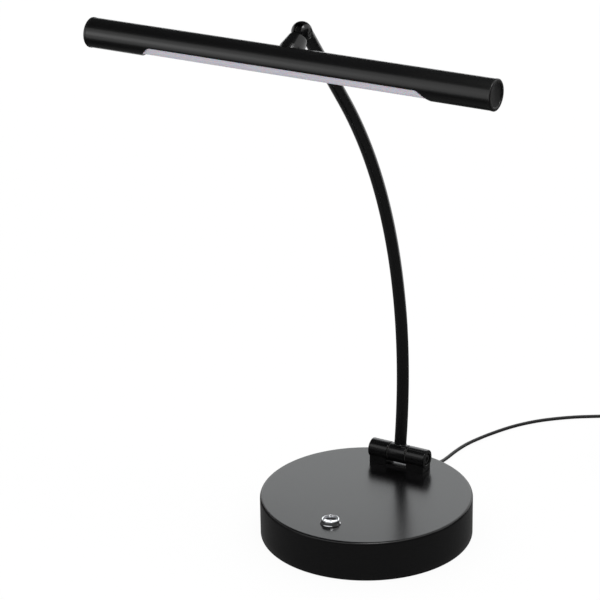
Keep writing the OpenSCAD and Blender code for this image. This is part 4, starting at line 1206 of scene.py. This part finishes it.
@dataclass
class Neck:
    """The turned neck between the ball and the light bar, with its flat tongue."""

    mouth_r: float = 7.2
    foot_r: float = 9.5
    face: float = 5.5
    chamfer: float = 1.3
    cup_gap: float = 0.35
    tongue_t: float = 5.2

    def build(self, shop: Workshop) -> None:
        """Makes the neck: rows of circles whose last one lies just inside the light bar's tube.

        At the angle a that last row stands at z = reach - sqrt(bar^2 - (foot_r sin a)^2).
        """
        m, f, c = self.mouth_r, self.face, self.chamfer
        cup = S.ball_r + self.cup_gap
        inner = np.linspace(0, m - c - 0.15, 14)
        rows = [(float(q), math.sqrt(cup * cup - q * q)) for q in inner]
        rows += [(m - c, f + 0.02), (m - 0.12, f + c - 0.1), (m, f + c + 0.12)]
        base = S.neck_reach - S.bar_r
        k = np.linspace(0.1, 1, 12)
        rows += [(m + (self.foot_r - m) * float(q), f + c + (base - f - c) * float(q)) for q in k]
        a = np.linspace(0, 2 * np.pi, 128, endpoint=False)
        r, z = (np.array(v)[:, None] for v in zip(*rows))
        points = np.stack([r * np.cos(a), r * np.sin(a), z + 0 * a], -1)
        bar = S.bar_r - 0.02
        last = np.stack([self.foot_r * np.cos(a), self.foot_r * np.sin(a),
                         S.neck_reach - np.sqrt(bar**2 - (self.foot_r * np.sin(a)) ** 2)], -1)
        close = np.tile([0, 0, S.neck_reach - bar], (len(a), 1))
        points = np.concatenate([points, last[None], close[None]])
        cone = Surface(points.reshape(-1, 3), grid_faces(len(points), len(a), False, True))
        cone = cone.moved(placed(S.pivot, 90 + S.neck_drop))
        shop.piece("neck_cone", cone + self.tongue(), Palette.enamel, "head", ("head_neck",),
                   sharp=38)

    def tongue(self) -> Surface:
        """The flat tongue: a slab with a round end, its edges eased by 0.3 mm.

        Returns:
            The tongue's surface.
        """
        t = np.linspace(-np.pi / 2, np.pi / 2, 29) + math.pi
        tip = np.stack([S.tongue_r * np.cos(t), S.tongue_r * np.sin(t)], -1)
        h = S.tongue_half
        root = np.array([(2.0, -h), (4.0, -h), (10.5, -h), (10.5, h), (4.0, h), (2.0, h)])
        outline = np.vstack([tip, root])
        half = self.tongue_t / 2
        slab = carried(outline, [(-half, SHUT), (-half, 0.3), (-half + 0.09, 0.09), (-half + 0.3, 0),
                                 (half - 0.3, 0), (half - 0.09, 0.09), (half, 0.3), (half, SHUT)])
        d = math.radians(S.neck_drop)
        fore = np.array([0, -math.cos(d), -math.sin(d)])
        side = np.cross(X_AXIS, fore)
        return slab.moved(Placement(np.column_stack([fore, side, X_AXIS]), np.array(S.pivot)))


@dataclass
class LightBar:
    """The long tube with its window, diffuser and end caps."""

    wall: float = 1.2
    window_len: float = 242.0
    drop: float = 2.0
    cap_t: float = 2.2
    diffuser_len: float = 264.0
    diffuser_wall: float = 1.2
    diffuser_top: float = 1.2

    def stations(self) -> tuple[np.ndarray, np.ndarray]:
        """Stations along the tube and the window's half angle at each.

        At the distance s beyond the window's straight part its half width is sqrt(w^2 - s^2), and the
        half angle, seen from the axis and measured from straight down, is asin(half width / radius).

        Returns:
            The x values and the half angles.
        """
        w = math.sqrt(S.bar_r**2 - self.drop**2)
        straight = self.window_len / 2 - w
        q = np.linspace(0, np.pi / 2, 26)
        end_x, half_w = straight + w * np.sin(q), w * np.cos(q)
        tube = S.bar_len / 2 - self.cap_t
        right = np.concatenate([np.linspace(0, straight, 40)[:-1], end_x,
                                np.linspace(end_x[-1], tube, 14)[1:]])
        width = np.concatenate([np.full(39, w), half_w, np.zeros(13)])
        x = np.concatenate([-right[:0:-1], right])
        h = np.concatenate([width[:0:-1], width])
        return x, np.arcsin(np.clip(h / S.bar_r, 0, 1))

    def tube(self, shop: Workshop) -> None:
        """The tube: outer and inner wall as one closed shell that parts round the window.

        point = (x, r sin b, -r cos b), with b running from the window's half angle round to its other side.
        """
        x, half = self.stations()
        u = np.linspace(0, 1, 97)
        b = half[:, None] + (2 * np.pi - 2 * half[:, None]) * u
        inner_r = S.bar_r - self.wall

        def sheet(r: float) -> np.ndarray:
            """One wall at radius r."""
            return np.stack([x[:, None] + 0 * b, r * np.sin(b), -r * np.cos(b)], -1)

        walls = np.concatenate([sheet(S.bar_r), sheet(inner_r)[:, ::-1]], axis=1)
        n = walls.shape[1]
        shell = Surface(walls.reshape(-1, 3), grid_faces(len(x), n, False, True))
        where = placed(S.bar_middle)
        obj = shop.piece("bar_shell", shell.moved(where), Palette.bar_coat, "head",
                         ("bar_tube",), sharp=35)
        self._ends(obj)

    def _ends(self, obj: bpy.types.Object) -> None:
        """Drops the faces that link the two walls where the tube is closed, beyond the window.

        The two end rings stay open, inside the end caps.

        Args:
            obj: the tube's object.
        """
        beyond, deep = (self.window_len / 2 + 0.2) * MM, 0.8 * MM
        _, y, z = S.bar_middle
        b = bmesh.new()
        b.from_mesh(obj.data)
        inside = []
        for f in b.faces:
            away = [math.hypot(v.co.y - y * MM, v.co.z - z * MM) for v in f.verts]
            if all(abs(v.co.x) > beyond for v in f.verts) and max(away) - min(away) > deep:
                inside.append(f)
        bmesh.ops.delete(b, geom=inside, context="FACES")
        b.to_mesh(obj.data)
        b.free()
        obj.data.set_sharp_from_angle(angle=math.radians(35))

    def diffuser(self, shop: Workshop) -> None:
        """The opal half tube behind the window: an arc with thickness, carried along X."""
        r = S.bar_r - self.wall - 0.05
        top = math.pi - math.acos(self.diffuser_top / r)
        t = np.linspace(-top, top, 61)
        outer = np.stack([r * np.sin(t), -r * np.cos(t)], -1)
        q = r - self.diffuser_wall
        inner = np.stack([q * np.sin(t), -q * np.cos(t)], -1)[::-1]
        outline = np.vstack([outer, inner])
        half = self.diffuser_len / 2
        x = np.concatenate([[-half], np.linspace(-half, half, 30), [half]])
        points = np.stack([np.column_stack([np.full(len(outline), v), outline]) for v in x])
        body = Surface(points.reshape(-1, 3), grid_faces(len(x), len(outline), False, True))
        m = len(t)
        caps = [(i, i + 1, 2 * m - 2 - i, 2 * m - 1 - i) for i in range(m - 1)]
        shift = (len(x) - 1) * len(outline)
        body.faces += caps + [tuple(v + shift for v in f) for f in caps]
        shop.piece("bar_window", body.moved(placed(S.bar_middle)), Palette.opal, "head",
                   ("bar_diffuser",), sharp=40)

    def cap(self, shop: Workshop, side: int) -> None:
        """One end cap: a rim, an inset middle and the plug inside the tube.

        Args:
            side: +1 for the right end, -1 for the left.
        """
        tube, end, r = S.bar_len / 2 - self.cap_t, S.bar_len / 2, S.bar_r
        profile = [(0, tube - 7), (8.0, tube - 7), (r - 1.32, tube - 5.8), (r - 1.32, tube), (r + 0.2, tube),
                   (r + 0.2, end - 0.5), (r - 0.3, end), (r - 2.2, end), (r - 2.5, end - 0.3),
                   (r - 2.5, end - 0.8), (0, end - 0.8)]
        surface = turned(softened(profile, 0.28, 4), 128)
        surface.points[:, 2] *= side
        name = "right" if side > 0 else "left"
        shop.piece(f"bar_cap_{name}", surface.moved(along_x(S.bar_middle)), Palette.cap, "head",
                   (f"end_cap_{name}",), sharp=35)

    def build(self, shop: Workshop) -> None:
        """Makes the light bar and dresses what is inside it."""
        self.tube(shop)
        self.diffuser(shop)
        self.cap(shop, 1)
        self.cap(shop, -1)
        shop.dress(Palette.aluminium, "bar_carrier")
        shop.dress(Palette.white_mask, "led_board")
        shop.dress(Palette.phosphor, "led_chips")
        shop.dress(Palette.grey_wire, "head_lead")


def main() -> None:
    """Builds the studio and the lamp."""
    logging.basicConfig(level=logging.INFO, format="%(name)s: %(message)s")
    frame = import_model()
    Studio().build()
    shop = Workshop(frame, Palette())
    for part in (Cord(), Base(), PushSwitch(), Hinge(), Arm(), Neck(), LightBar()):
        part.build(shop)


if __name__ == "__main__":
    main()
